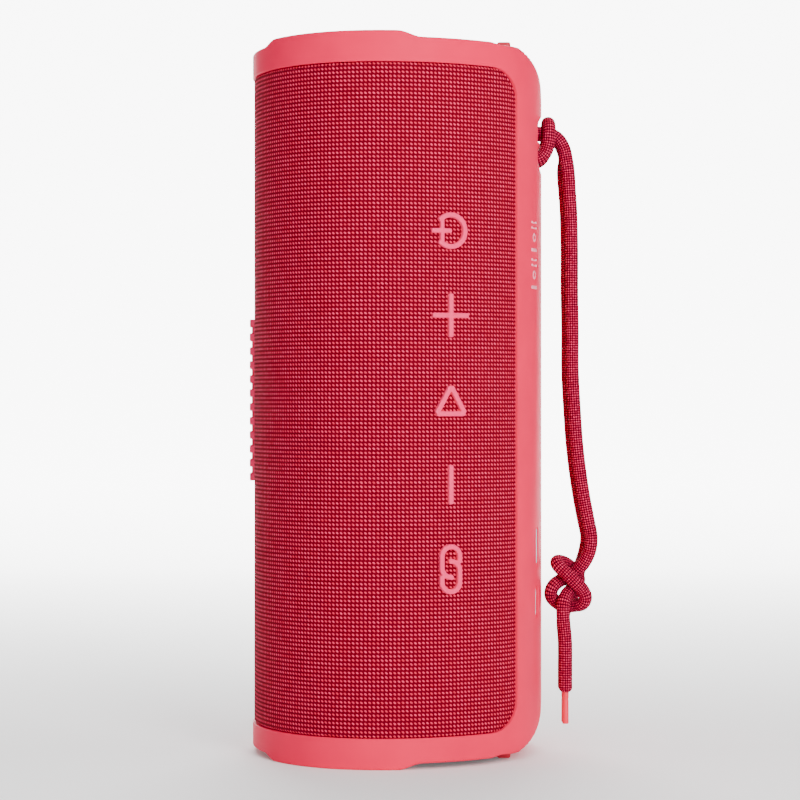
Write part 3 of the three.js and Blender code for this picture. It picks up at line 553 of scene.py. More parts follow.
def braided(name):
    """Braided cord: pale slanted picks over a dark ground, with fuzzy edges."""
    look = Look(name)
    vector, chance, _, squared = slanted_ovals(look, -28, 0.42, 0.4)
    fuzz = look.noise(9, 4, vector=vector, rough=0.7)
    reach = look.math("ADD", squared, look.spread(fuzz, -0.2, 0.2))
    pick = look.math("SUBTRACT", 1.0, reach, clamp=True)
    dark = look.mix(fuzz, (0.05, 0.0003, 0.006, 1), (0.11, 0.0006, 0.012, 1))
    light = look.mix(chance, (0.5, 0.006, 0.05, 1), (0.85, 0.03, 0.12, 1))
    look.set("Base Color", look.mix(look.math("MULTIPLY", pick, 1.8, clamp=True), dark, light))
    look.set("Roughness", look.spread(pick, 0.92, 0.7))
    red_sheen(look, 0.5)
    look.bump(pick, 0.0002, 1.0)
    return look.material


def glowing(name):
    """Status light: a diffuser lit from white at its low end to teal at the other."""
    look = Look(name, Roughness=0.25)
    parts = look.node("ShaderNodeSeparateXYZ")
    look.put(parts.inputs[0], look.object_space())
    low = (HALF_HEIGHT + LIGHT_Z - GLOW_HALF) * MM
    along = look.math("DIVIDE", look.math("SUBTRACT", parts.outputs[2], low), 2 * GLOW_HALF * MM, clamp=True)
    colour = look.ramp(along, (0.0, (0.5, 0.95, 0.95, 1)), (0.45, (0.04, 0.6, 0.6, 1)),
                       (1.0, (0.01, 0.42, 0.43, 1)))
    look.set("Base Color", look.mix(look.noise(900, 2), (0.02, 0.2, 0.22, 1), (0.04, 0.3, 0.32, 1)))
    look.set("Emission Color", colour)
    look.set("Emission Strength", 0.75)
    return look.material


FRAME_BASE = (0.83, 0.002, 0.062, 1)
MATERIALS = {
    "frame_plastic": plastic("frame_plastic", FRAME_BASE, 0.44, Specular_IOR_Level=0.05),
    "sleeve_cloth": woven("sleeve_cloth"),
    "key_plastic": plastic("key_plastic", (1.0, 0.035, 0.15, 1), 0.42, Specular_IOR_Level=0.1),
    "inner_plastic": plastic("inner_plastic", srgb(30, 30, 33), 0.55, 0.00004, 0.15),
    "rubber": plastic("rubber", srgb(26, 25, 27), 0.72, 0.00005, 0.2),
    "steel": metal("steel", srgb(188, 190, 194), 0.3),
    "plate_aluminium": metal("plate_aluminium", srgb(200, 202, 206), 0.34, 0.00002),
    "board": plastic("board", srgb(22, 84, 56), 0.4, 0.00003, 0.2),
    "cell_wrap": plastic("cell_wrap", srgb(40, 92, 178), 0.35, 0.00001, 0.05),
    "light_diffuser": glowing("light_diffuser"),
    "strap_cord": braided("strap_cord"),
    "cord_tip": plastic("cord_tip", (0.8, 0.012, 0.05, 1), 0.35, 0.00002, 0.08, Specular_IOR_Level=0.3),
    # A darker copy of the frame red: painted shade for the pocket's recess and for the feet that sit back
    # behind the rim.
    "shaded_frame_red": plastic("shaded_frame_red", (0.5, 0.006, 0.03, 1), 0.5, Specular_IOR_Level=0.3),
    "print": plastic("print", (1.0, 0.3, 0.4, 1), 0.5, 0.00001, 0.03),
}


def finish_with(piece, slot, look=None):
    piece.data.materials.clear()
    piece.data.materials.append(MATERIALS[look or slot])
    return piece


RECORD_SLOTS = {}


def collect_slots(record):
    """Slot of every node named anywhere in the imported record."""
    if isinstance(record, dict):
        node_name = record.get("node") or record.get("name")
        if node_name and record.get("material_slot"):
            RECORD_SLOTS[node_name] = record["material_slot"]
        record = list(record.values())
    if isinstance(record, list):
        for value in record:
            collect_slots(value)


collect_slots(frame["record"])


def frame_slot(node):
    return RECORD_SLOTS.get(node, "frame_plastic")


# ---- strap ----

def hitch(side):
    """From the arch over the strands, down one leg, under and round the bar, and out."""
    near = side * 2.1
    wide = side * 5.7
    return [
        (45.3, 0, 82.6), (45.35, side * 2.6, 82.2), (45.4, side * 4.6, 80.8), (45.3, side * 5.6, 78.2),
        (44.9, wide, 75.2), (43.6, wide, 72.4), (41.2, wide, 71.3), (38.2, side * 5.0, 72.4),
        (37.2, side * 3.9, 75.4), (38.3, side * 2.7, 78.4), (41.4, near, 79.4), (44.0, near, 79.4),
        (46.6, near, 78.9), (48.6, near, 77.3), (50.1, near, 74.4), (50.6, near, 71.8),
    ]


STRAND = [
    (51.1, 68.9), (51.6, 61.3), (51.9, 56.9), (52.2, 44.9), (52.2, 33.0), (52.4, 20.9), (52.4, 9.0),
    (53.0, -3.0), (53.9, -15.0), (55.5, -27.0), (57.1, -35.7),
]


def strand(side):
    inward = 0.0 if side < 0 else 1.0
    return [(x - inward, side * 2.15, z) for x, z in STRAND]


# The overhand knot, drawn about the spine's plane: out of the spine, to the far side, up.
KNOT_NEAR = [
    (58.034, -2.097, -40.432), (58.034, -1.997, -42.429), (57.659, -1.498, -44.925),
    (56.411, -0.749, -47.92), (54.414, 0.499, -50.666), (52.168, 2.246, -52.912),
    (49.173, 1.498, -53.911), (46.677, 0.499, -55.908), (46.178, 0.874, -58.404),
    (47.925, 2.371, -60.525), (50.421, 3.37, -61.898), (53.416, 2.122, -61.524), (55.662, 0, -60.9),
    (56.536, -1.248, -58.903), (55.413, -1.747, -56.407), (53.416, -2.371, -54.41),
    (50.92, -2.246, -51.914), (48.424, -1.498, -49.668), (47.8, 0, -48.295), (49.672, 2.246, -48.47),
    (52.418, 4.493, -50.167), (54.414, 4.493, -52.413), (54.789, 3.245, -54.16),
    (53.416, 1.498, -55.908), (50.92, -0.499, -57.904), (49.797, -1.947, -60.4),
    (49.622, -2.097, -62.647), (49.922, -1.997, -66.89), (50.371, -2.196, -71.882),
]
KNOT_FAR = [
    (57.085, 2.147, -40.432), (57.035, 2.246, -42.429), (56.736, 3.245, -44.676),
    (56.162, 5.99, -47.671), (55.413, 8.362, -50.416), (54.789, 8.736, -53.162), (54.29, 8.362, -55.908),
    (53.416, 7.987, -58.404), (52.043, 7.862, -60.9), (50.795, 7.363, -63.146), (50.221, 5.616, -65.392),
    (50.071, 3.494, -67.639), (50.371, 2.196, -71.882),
]
TAIL_X, TAIL_SIDE, TAIL_LOW, TIP_LOW = 50.4, 2.2, -86.9, -96.4


def tail(side):
    return [(TAIL_X, side * TAIL_SIDE, -80), (TAIL_X, side * TAIL_SIDE, TAIL_LOW)]


def smooth_line(points, spacing, rounds=6):
    """Even points along a centripetal Catmull-Rom line, relaxed a little between its ends."""
    def blend(a, b, start, end, t):
        return ((end - t) * a + (t - start) * b) / (end - start)

    def even(q, step):
        d = distance_along(q)
        at = np.linspace(0, d[-1], int(round(d[-1] / step)) + 1)
        return np.stack([np.interp(at, d, q[:, k]) for k in range(3)], -1)

    p = np.array(points, float)
    ends = np.vstack([2 * p[0] - p[1], p, 2 * p[-1] - p[-2]])
    out = []
    for i in range(1, len(ends) - 2):
        p0, p1, p2, p3 = ends[i - 1:i + 3]
        t1 = np.linalg.norm(p1 - p0) ** 0.5
        t2 = t1 + np.linalg.norm(p2 - p1) ** 0.5
        t3 = t2 + np.linalg.norm(p3 - p2) ** 0.5
        for t in np.linspace(t1, t2, 24, endpoint=False):
            a1, a2, a3 = blend(p0, p1, 0, t1, t), blend(p1, p2, t1, t2, t), blend(p2, p3, t2, t3, t)
            b1, b2 = blend(a1, a2, 0, t2, t), blend(a2, a3, t1, t3, t)
            out.append(blend(b1, b2, t1, t2, t))
    out = even(np.array(out + [p[-1]]), 0.5)
    for _ in range(rounds):
        out[1:-1] += 0.4 * ((out[:-2] + out[2:]) / 2 - out[1:-1])
    return even(out, spacing)


def swept(name, path, sides=40):
    """Cord along a path, with its UV in picks of the braid. The cut end is drawn in under the tip."""
    n = len(path)
    tangent = np.gradient(path, axis=0)
    tangent /= np.linalg.norm(tangent, axis=1)[:, None]
    side = np.cross(tangent[0], (0.3, 0.9, 0.1))
    along = distance_along(path)
    points, uv = [], []
    phi = np.linspace(0, 2 * np.pi, sides + 1)
    for i in range(n):
        side = side - tangent[i] * np.dot(side, tangent[i])
        side /= np.linalg.norm(side)
        up = np.cross(tangent[i], side)
        r = CORD_RADIUS * (0.6 + 0.4 * math.sqrt(min(1.0, along[-1] - along[i])))
        points.append(path[i] + np.outer(r * np.cos(phi), side) + np.outer(r * np.sin(phi), up))
        uv.append(np.stack([phi / (2 * np.pi) * CARRIERS, np.full(sides + 1, along[i] / LAY)], -1))
    faces = grid_faces(n, sides + 1)
    hub = n * (sides + 1)
    last = hub - (sides + 1)
    for j in range(sides):
        faces.append((hub, j + 1, j))
        faces.append((hub + 1, last + j, last + j + 1))
    points = np.vstack(points + [path[0], path[-1]])
    uv = np.vstack(uv + [[0, 0], [0, along[-1] / LAY]])
    return tidy_mesh(mesh_piece(name, points, faces, uv))


def strap_half(name, side, knot):
    path = smooth_line(hitch(side) + strand(side) + knot + tail(side), 0.34)
    path[:, 0], path[:, 1] = from_spine(path[:, 0].copy(), path[:, 1].copy())
    return finish_with(swept(name, path), "strap_cord"), path, float(distance_along(path)[-1])


def cord_tip(name, side):
    x, y = from_spine(TAIL_X, side * TAIL_SIDE)
    low, high = TIP_LOW, TAIL_LOW + 0.2
    profile = [(0, low), (0.7, low)]
    profile += [(0.7 + 0.25 * math.sin(a), low + 0.3 - 0.3 * math.cos(a))
                for a in np.linspace(0, math.pi / 2, 5)]
    profile += [(0.95, high - 2.9), (0.88, high - 2.7), (0.88, high - 2.2), (0.95, high - 2.0),
                (0.98, high - 0.4), (0.8, high), (0, high)]
    piece = lathe(name, profile, centre=(x, y), sides=40)
    return finish_with(piece, "cord_tip")


near_cord, near_path, near_length = strap_half("strap_near", -1, KNOT_NEAR)
far_cord, far_path, far_length = strap_half("strap_far", 1, KNOT_FAR)
tip_near = cord_tip("cord_tip_near", -1)
tip_far = cord_tip("cord_tip_far", 1)
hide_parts("strap_hitch", "strap_strand_near", "strap_knot", "strap_tail_near")
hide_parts("strap_hitch", "strap_strand_far", "strap_knot", "strap_tail_far")
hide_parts("aglet_near")
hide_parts("aglet_far")
for piece, path, length, tip in ((near_cord, near_path, near_length, tip_near),
                                 (far_cord, far_path, far_length, tip_far)):
    place(path[0])[0].tolist()
    place(path).tolist()

# ---- frame ----


def smooth_step(t):
    t = np.clip(t, 0, 1)
    return t * t * (3 - 2 * t)


def rim_height(s):
    """Height of the frame's rim at an arc length: low, scalloped beside the spine, high at the lobes."""
    p = surf(s, 0.0)
    turn = np.abs(np.degrees(np.arctan2(p[..., 1], p[..., 0])))
    off = np.abs(turn - LOBE_AT)
    lobe = 1 - smooth_step((off - LOBE_FLAT) / (LOBE_FOOT - LOBE_FLAT))
    scallop = smooth_step(1 - np.abs(turn - SCALLOP_AT) / SCALLOP_HALF)
    return RIM_LOW + (HALF_HEIGHT - RIM_LOW) * lobe - RIM_SCALLOP * scallop


WINDOW_START = arc_at_y(SPINE_HALF)
WINDOW_END = AROUND - arc_at_y(SPINE_HALF, -1)
CORNER_S = arc_at_y(SPINE_HALF + WINDOW_RADIUS) - WINDOW_START


def window_columns():
    """Columns round the window's edge: s and z there, the normal's s and z, and s and z where the column
    ends, with None for z on a rim."""
    columns = []
    left, right = WINDOW_START + CORNER_S, WINDOW_END - CORNER_S
    straight = WINDOW_HALF - WINDOW_RADIUS
    corner_z = float(rim_height(0.0)) - RIM_FILLET
    half = 9

    def corner(way, up, reverse):
        centre, goal = (right, AROUND) if way > 0 else (left, 0.0)
        part = []
        for i in range(2 * half + 1):
            a = math.radians(90 - 45 * i / half)
            start = (centre + way * CORNER_S * math.cos(a), up * (straight + WINDOW_RADIUS * math.sin(a)),
                     way * math.cos(a), up * math.sin(a))
            if i <= half:
                end = (centre + (goal - centre) * i / half, None)
            else:
                end = (goal, up * (corner_z + (straight - corner_z) * (i - half) / half))
            part.append(start + end)
        return part[::-1] if reverse else part

    top = np.linspace(left, right, 236)[1:-1]
    down = np.linspace(straight, -straight, 110)[1:-1]
    columns += [(s, WINDOW_HALF, 0.0, 1.0, s, None) for s in top]
    columns += corner(1, 1, False)
    columns += [(WINDOW_END, z, 1.0, 0.0, AROUND, z) for z in down]
    columns += corner(1, -1, True)
    columns += [(s, -WINDOW_HALF, 0.0, -1.0, s, None) for s in top[::-1]]
    columns += corner(-1, -1, False)
    columns += [(WINDOW_START, z, -1.0, 0.0, 0.0, z) for z in down[::-1]]
    columns += corner(-1, 1, True)
    return columns


def frame_mesh():
    """Shell round the window: out of its lip, over the outside, over the rim and back down the inside."""
    inner = 0.5
    lip = [(0.0, LIP)] + rolled(LIP, 0.0, 6)
    steps = [0.03, 0.07] + [0.07 + 0.9 * (i + 1) / 20 for i in range(20)] + [1.0]
    turn = np.linspace(0, math.pi / 2, 6)[1:]
    inside = np.linspace(0, math.pi / 2, 4)[1:]
    flats = (1.2, 2.0, WALL - inner)
    grid, rims = [], []
    for ws, wz, ns, nz, es, ez in window_columns():
        up = 1 if wz > 0 else -1
        rim = ez is None
        height = float(rim_height(es)) if rim else 0.0
        edge_z = up * (height - RIM_FILLET) if rim else ez
        column = [(ws, wz, WALL)]
        column += [(ws + ns * e, wz + nz * e, d) for e, d in lip]
        start = (ws + ns * LIP, wz + nz * LIP)
        column += [(start[0] + (es - start[0]) * t, start[1] + (edge_z - start[1]) * t, 0.0) for t in steps]
        if rim:
            column += [(es, up * (height - RIM_FILLET * (1 - math.sin(a))), RIM_FILLET * (1 - math.cos(a)))
                       for a in turn]
            column += [(es, up * height, d) for d in flats]
            column += [(es, up * (height - inner * (1 - math.cos(a))), WALL - inner * (1 - math.sin(a)))
                       for a in inside]
        else:
            column += [(es, edge_z, 0.0)] * (len(turn) + len(flats) + len(inside))
        low = up * (height - inner) if rim else edge_z
        column += [(es + (ws - es) * t, low + (wz - low) * t, WALL) for t in (0.0, 0.25, 0.5, 0.75)]
        rims.append(rim)
        grid.append(column)
    total, count = len(grid), len(grid[0])
    grid = np.array(grid, float)
    xyz = surf(grid[..., 0], grid[..., 1], grid[..., 2]).reshape(-1, 3)
    over_top = range(len(lip) + len(steps), count - 4)
    faces = []
    for i in range(total):
        k = (i + 1) % total
        for j in range(count):
            m = (j + 1) % count
            if j in over_top and not (rims[i] and rims[k]):
                continue
            faces.append((i * count + j, k * count + j, k * count + m, i * count + m))
    return xyz, faces


def face_cutter(name, outline, round_edge, deep):
    rows = [(-round_edge * 0.82, -1.2)]
    rows += [(-round_edge * (1 - math.sin(a)), round_edge * (1 - math.cos(a)))
             for a in np.radians(np.linspace(10, 90, 6))]
    rows += [(0.0, deep)]
    return solid(name, loft(filled(outline, 0.6), rows, on_face), body=None)


def pocket_solid(name, rings, sharp=None, body="speaker", count=160):
    """Closed solid through the pocket's outline, each ring (wider by, taller by, x, corner radius)."""
    rows = []
    for wider, taller, x, radius in rings:
        shape = filled(rounded(-POCKET_HALF - wider, POCKET_HALF + wider, POCKET_LOW - taller,
                               POCKET_HIGH + taller, radius, 8), 1.0)
        closed = np.vstack([shape, shape[:1]])
        d = distance_along(closed)
        at = np.linspace(0, d[-1], count, endpoint=False)
        y, z = np.interp(at, d, closed[:, 0]), np.interp(at, d, closed[:, 1])
        rows.append(np.stack([*from_spine(np.full(count, x), y), z], -1))
    return solid(name, capped(rows), sharp, body)


def pocket_cutter():
    """Straight at the floor, then flared out past the face."""
    rings = [(0, 0, 36.0), (0, 0, 38.0), (0.3, -0.1, 39.4), (0.8, -0.25, 40.8), (1.5, -0.2, 41.6),
             (2.6, 0.5, 42.2), (4.6, 2.4, 43.3), (11.4, 9.4, 47.0)]
    return pocket_solid("pocket_tool", [ring + (3.0,) for ring in rings], body=None)


frame_piece = solid("frame_moulding", frame_mesh(), weld=2e-6)
subtract(frame_piece, [
    pocket_cutter(),
    face_cutter("light_tool", slot_outline(LIGHT_Z, LIGHT_LONG / 2, LIGHT_WIDE / 2, 1.0, 8), 0.2, 8.0),
    face_cutter("socket_tool", slot_outline(SOCKET_Z, SOCKET_LONG / 2, SOCKET_WIDE / 2, 1.79, 10), 0.35, 8.0),
])
tidy_mesh(frame_piece, weld=1e-6, sharp=42)
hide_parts("outer_frame")
finish_with(frame_piece, "frame_plastic")


def pocket_liner():
    """Cup behind the pocket that the bar crosses, in a darker copy of the frame red: painted shade for the
    recess.
    """
    back = POCKET_FLOOR - 1.4
    rings = [(-2.0, -2.0, POCKET_FLOOR, 1.5), (-0.9, -0.9, POCKET_FLOOR, 2.3),
             (-0.3, -0.3, POCKET_FLOOR + 0.2, 2.8), (0, 0, POCKET_FLOOR + 0.9, 3.0), (0, 0, 38.6, 3.0),
             (1.6, 1.6, 38.6, 4.0), (1.6, 1.6, back, 4.0), (-2.0, -2.0, back, 1.5)]
    return finish_with(pocket_solid("pocket_liner", rings, 40), "frame_plastic", "shaded_frame_red")


pocket_liner()


def lanyard_bar():
    """Round bar that follows the bend of the spine, with a small collar where it meets each wall."""
    t = np.linspace(-1, 1, 49)
    line = np.stack([41.6 - 2.1 * t * t, 12.9 * t, np.full(49, 75.4)], -1)
    a = np.linspace(0, 2 * np.pi, 41)[:-1]
    rows = []
    for i, p in enumerate(line):
        along = line[min(i + 1, 48)] - line[max(i - 1, 0)]
        along /= np.linalg.norm(along)
        side = np.cross(along, (0, 0, 1.0))
        r = 1.4 + 0.5 * max(0.0, abs(t[i]) - 0.82) / 0.18
        ring = p + r * (np.outer(np.cos(a), side) + np.outer(np.sin(a), (0, 0, 1.0)))
        rows.append(np.stack([*from_spine(ring[:, 0], ring[:, 1]), ring[:, 2]], -1))
    piece = solid("bar_across_pocket", capped(rows), 60)
    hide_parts("lanyard_bar")
    return finish_with(piece, frame_slot("lanyard_bar"), "frame_plastic")


lanyard_bar()

# ---- status light, socket, printed marks ----


def light_lens():
    rows = [(0.0, 4.0), (0.0, 0.5)] + rolled(0.3, 0.2, 4)
    outline = filled(slot_outline(LIGHT_Z, 5.2, 0.8, 0.78, 8), 0.5)
    piece = solid("status_light", loft(outline, rows, on_face), 60)
    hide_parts("light_pipe")
    return finish_with(piece, "light_diffuser")


def charging_socket():
    rows = [(0.0, 7.5), (0.0, 0.9), (0.12, 0.75), (0.3, 0.75), (0.36, 0.9), (0.36, 6.4), (1.2, 6.5)]
    shell = loft(filled(slot_outline(SOCKET_Z, 4.5, 1.6, 1.58, 8), 0.6), rows, on_face)
    piece = solid("charging_socket_shell", shell, 40)
    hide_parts("usb_c_socket")
    finish_with(piece, "steel")
    rows = [(0.0, 6.8), (0.0, 1.6), (0.1, 1.45)]
    tongue = loft(filled(slot_outline(SOCKET_Z, 3.3, 0.36, 0.12, 3), 0.6), rows, on_face)
    finish_with(solid("charging_socket_tongue", tongue, 40), "inner_plastic")


light_lens()
charging_socket()


MARKS_SIDE, MARKS_Z, MARKS_PITCH = -3.0, 42.05, 3.64


def printed_marks():
    """Six generic signs down the spine, thin as ink: pairs of bars, open rings and single bars."""
    parts = []
    rows = [(0.0, 0.1), (0.0, -0.05)]
    for i in range(6):
        z = MARKS_Z + (2.5 - i) * MARKS_PITCH
        outlines = [
            [slot_outline(z - 0.8, 0.35, 2.4, 0.3, 4), slot_outline(z + 0.8, 0.35, 2.4, 0.3, 4)],
            [band(arc(0, z, 1.0, 4, 356), 0.6, 0.05)],
            [slot_outline(z, 0.5, 2.4, 0.4, 4)],
        ][i % 3]
        parts += [loft(filled(np.array(o) + (MARKS_SIDE, 0), 0.4), rows, on_face) for o in outlines]
    return finish_with(solid("printed_marks", joined(parts)), "key_plastic", "print")


printed_marks()

# ---- sleeve ----

# Distances in from the sleeve's edge where the tuck under the frame is drawn finely.
TUCK_LEVELS = (0.15, 0.3, 0.45, 0.6, 0.8, 1.1)


def sleeve():
    half_z = WINDOW_HALF - SLEEVE_GAP
    half_s = (WINDOW_END - WINDOW_START) / 2 - SLEEVE_GAP
    radius_z = WINDOW_RADIUS - SLEEVE_GAP
    radius_s = CORNER_S - SLEEVE_GAP
    middle = (WINDOW_START + WINDOW_END) / 2
    bend = [math.sin(a) for a in np.linspace(0, math.pi / 2, 26)]
    corner = [half_z - radius_z + radius_z * b for b in bend]
    straight = list(np.linspace(-(half_z - radius_z), half_z - radius_z, 150))
    heights = [-z for z in corner[::-1]][:-1] + straight + corner[1:]
    heights[0] = -half_z
    k = np.linspace(-1, 1, 261)
    edge = np.array([1 - e / half_s for e in (0.0,) + TUCK_LEVELS])
    across = np.unique(np.concatenate([-edge, k[(np.abs(k) < edge.min() - 0.004)], edge]))
    for level in TUCK_LEVELS:
        heights += [half_z - level, -(half_z - level)]
    heights = np.unique(np.round(heights, 4))
    rows = []
    for z in heights:
        over = max(0.0, abs(z) - (half_z - radius_z))
        width = half_s - radius_s * (1 - math.sqrt(max(0.0, 1 - (over / radius_z) ** 2)))
        rows.append(np.stack([middle + across * width, np.full(len(across), z)], -1))
    grid = np.array(rows)
    qs = np.abs(grid[..., 0] - middle) - (half_s - radius_s)
    qz = np.abs(grid[..., 1]) - (half_z - radius_z)
    away = radius_z - (np.hypot(np.maximum(qs, 0), np.maximum(qz, 0)) + np.minimum(np.maximum(qs, qz), 0))
    tuck = 1 - smooth_step(away / 0.6)
    depth = FABRIC_DEPTH + 0.35 * tuck
    xyz = surf(grid[..., 0], grid[..., 1], depth).reshape(-1, 3)
    uv = (grid / PITCH).reshape(-1, 2)
    piece = mesh_piece("sleeve_cloth", xyz, grid_faces(len(heights), len(across)), uv)
    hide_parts("fabric_sleeve")
    finish_with(piece, "sleeve_cloth")
    return piece


sleeve()

# ---- keys ----


TRIANGLE = [(-4.4, -3.9), (4.4, -3.9), (0, 3.9)]
HOOK = np.concatenate([[(2.75, 1.7)], arc(0, 3.6, 2.75, 0, 180), arc(0, 0.5, 2.75, 180, 285)])
# Node, place along the row, and the strokes of its sign.
KEYS = [
    ("power_key", 2, [band(arc(0, 0, 4.47, -142, 142), STROKE), band(line(-5.9, 0, 0.2, 0), 1.34),
                      band(line(-2.7, -3.4, -2.7, 3.4), 1.2)]),
    ("volume_up_key", 1, [band(line(-5.6, 0, 5.6, 0), STROKE), band(line(0, -6.2, 0, 6.2), STROKE)]),
    ("play_key", 0, [band(line(*a, *b), STROKE, 0.6) for a, b in zip(TRIANGLE, TRIANGLE[1:] + TRIANGLE[:1])]),
    ("volume_down_key", -1, [band(line(0, -5.6, 0, 5.6), STROKE)]),
    ("link_key", -2, [band(HOOK, STROKE, 0.5), band(-HOOK, STROKE, 0.5)]),
]
KEY_S = arc_at(KEY_BETA) - ARC_SPINE
KEY_TOP = FABRIC_DEPTH - 1.2


def key_piece(node, step, strokes):
    def mapper(u, v, depth):
        return surf(KEY_S + u, step * KEY_PITCH + v, depth)

    rows = [(0.0, 1.6), (0.0, KEY_TOP + 0.3)] + rolled(0.3, KEY_TOP, 4)
    parts = [loft(filled(outline, 0.5), rows, mapper) for outline in strokes]
    piece = solid(node + "_sign", joined(parts), body=node, weld=1e-7)
    remesh(piece, 0.13, 4)
    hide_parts(node)
    return finish_with(piece, "key_plastic")


for key in KEYS:
    key_piece(*key)

# ---- badge ----

BADGE_WIDTHS = [3.2, 5.6, 8.6, 6.4, 10, 7.4, 9.2, 5.2, 7.6, 4, 6.2, 3]
BADGE_HALF, BADGE_BAR = 24.0, 1.2
BADGE_TOP = FABRIC_DEPTH - 1.4


def badge():
    """Raised bars of different widths, like a level meter, on a thin carrier bar."""
    middle = arc_at(SPINE_AT + math.pi) - ARC_SPINE

    def mapper(u, v, depth):
        return surf(middle + u, v, depth)

    rows = [(0.0, 0.6), (0.0, BADGE_TOP + 0.35)] + rolled(0.35, BADGE_TOP, 5) + [(0.8, BADGE_TOP - 0.03)]
    parts = []
    reach = BADGE_HALF - BADGE_BAR
    for z, wide in zip(np.linspace(-reach, reach, len(BADGE_WIDTHS)), BADGE_WIDTHS):
        parts.append(loft(filled(slot_outline(z, BADGE_BAR, wide / 2, 0.5, 5), 0.6), rows, mapper))
    rows = [(0.0, 0.6), (0.0, FABRIC_DEPTH - 0.65), (0.15, FABRIC_DEPTH - 0.8)]
    parts.append(loft(filled(slot_outline(0.0, BADGE_HALF, 1.3, 0.4, 4), 0.8), rows, mapper))
    piece = solid("raised_badge", joined(parts), 45, weld=1e-7)
    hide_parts("badge")
    return finish_with(piece, frame_slot("badge"), "key_plastic")


badge()

# ---- ends ----

SCREW_RADIUS, SCREW_ANGLES = 36, (48, 132, 228, 312)
FOOT_X0, FOOT_X1, FOOT_HALF, FOOT_LIP, FOOT_LIP_DEPTH = 30.4, 33.2, 21, 28.3, 2.4
TRIM_INNER, TRIM_LOW, TRIM_TOP = 30.0, 93.2, 99.4


def end_parts(end, side):
    """Trim, passive radiator, screws and foot at one end; side is 1 at the top and -1 at the bottom."""
    def lathe_end(name, profile, node, slot, body="speaker", **places):
        piece = lathe(f"{name}_{end}", [(r, side * z) for r, z in profile], body=body, **places)
        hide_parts(node)
        return finish_with(piece, slot)

    b = np.linspace(0, 2 * np.pi, 181)[:-1]

    def circle(radius, z):
        return np.stack([radius * np.cos(b), radius * np.sin(b), np.full(len(b), z)], -1)

    def outline(depth, z):
        return np.stack([*section(b, depth), np.full(len(b), z)], -1)

    rows = [circle(TRIM_INNER, TRIM_LOW), circle(TRIM_INNER, 94.6), circle(30.15, 95.2), circle(31.2, 96.4),
            circle(32.8, 98.0), circle(34.0, 99.0), circle(34.6, 99.34), circle(35.1, TRIM_TOP),
            outline(4.1, TRIM_TOP), outline(3.8, 99.3), outline(3.7, 99.0), outline(3.7, TRIM_LOW)]
    rows.append(rows[0])
    bowl = (np.concatenate(rows) * (1, 1, side), grid_faces(len(rows), len(b), wrap=True))
    trim = solid(f"end_bowl_{end}", bowl, 50)

    def from_end(u, v, depth):
        return np.stack([*from_spine(u, v), side * (HALF_HEIGHT - depth)], -1)

    def slab(name, x0, x1, y):
        shape = filled(rounded(x0, x1, -y, y, 0.8, 6), 1.0)
        return solid(name, loft(shape, [(0.0, 14.0), (0.0, -2.0)], from_end), body=None)

    subtract(trim, [slab("foot_tool", FOOT_X0 - 0.3, 60.0, FOOT_HALF + 0.3),
                    slab("horn_tool", 33.5, 60.0, 40)])
    tidy_mesh(trim, sharp=40)
    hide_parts(f"end_trim_{end}")
    finish_with(trim, frame_slot("end_trim_" + end))

    low, high = 0.12, math.pi - 0.12
    roll = [(29.6, 91.7), (29.6, 92.5), (28.6, 92.6), (27.7, 92.6)]
    roll += [(24.2 + 3.4 * math.cos(a), 92.6 + 3.2 * math.sin(a)) for a in np.linspace(low, high, 22)]
    roll += [(20.75, 92.55), (20.75, 91.9), (21.5, 91.9)]
    low, high = 0.15, math.pi - 0.15
    roll += [(24.2 + 2.7 * math.cos(a), 91.9 + 2.5 * math.sin(a)) for a in np.linspace(high, low, 16)]
    roll += [(26.9, 91.7)]
    lathe_end("surround", roll, f"radiator_surround_{end}", "rubber")
    plate = [(0, 90.6), (20.5, 90.6), (20.5, 91.9), (20.4, 92.2), (20.1, 92.5), (19.6, 92.6), (14.6, 92.6),
             (14.2, 92.52), (13.7, 92.15), (13.2, 92.1), (0.0, 92.1)]
    lathe_end("plate", plate, f"radiator_plate_{end}", "plate_aluminium", f"radiator_{end}")

    head = [(0, 91.0), (1.1, 91.0), (1.1, 91.7), (2.1, 91.7), (2.1, 92.5), (1.95, 92.8), (1.6, 92.98),
            (1.05, 93.0), (0.9, 92.9), (0.8, 92.3), (0.0, 92.2)]
    for i, angle in enumerate(SCREW_ANGLES):
        at = (SCREW_RADIUS * math.cos(math.radians(angle)), SCREW_RADIUS * math.sin(math.radians(angle)))
        lathe_end(f"screw_{i + 1}", head, f"end_screw_{i + 1}_{end}", "steel", centre=at, sides=28)

    def foot_mapper(u, v, depth):
        """The lip hangs over the trim, and its face is drawn back toward the end."""
        u = np.where(depth > FOOT_LIP_DEPTH, np.maximum(u, FOOT_X0), u)
        ramp = np.clip(1 - depth / 1.4, 0, 1) * np.clip((FOOT_LIP + 2.3 - u) / 2.3, 0, 1)
        return from_end(u + 1.3 * ramp, v, depth)

    rows = [(0.0, 10.6), (0.0, 2.45), (0.0, 2.35), (0.0, 1.4), (0.0, 0.9), (0.02, 0.45), (0.1, 0.2),
            (0.22, 0.06), (0.4, 0.0)]
    shape = filled(rounded(FOOT_LIP, FOOT_X1, -FOOT_HALF, FOOT_HALF, 0.9, 8), 0.6)
    foot = solid(f"foot_{end}", loft(shape, rows, foot_mapper), 50)
    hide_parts(f"spine_foot_{end}")
    # The foot gets the darker frame red: painted shade, because it sits back behind the rim in shadow.
    finish_with(foot, frame_slot("spine_foot_" + end), "shaded_frame_red")


end_parts("top", 1)
end_parts("bottom", -1)

# ---- CAD nodes that stay ----

for name, node in frame["nodes"].items():
    if node.hide_render:
        continue
    node.data.materials.clear()
    node.data.materials.append(MATERIALS.get(frame_slot(name), MATERIALS["inner_plastic"]))

# ---- stage and lights ----


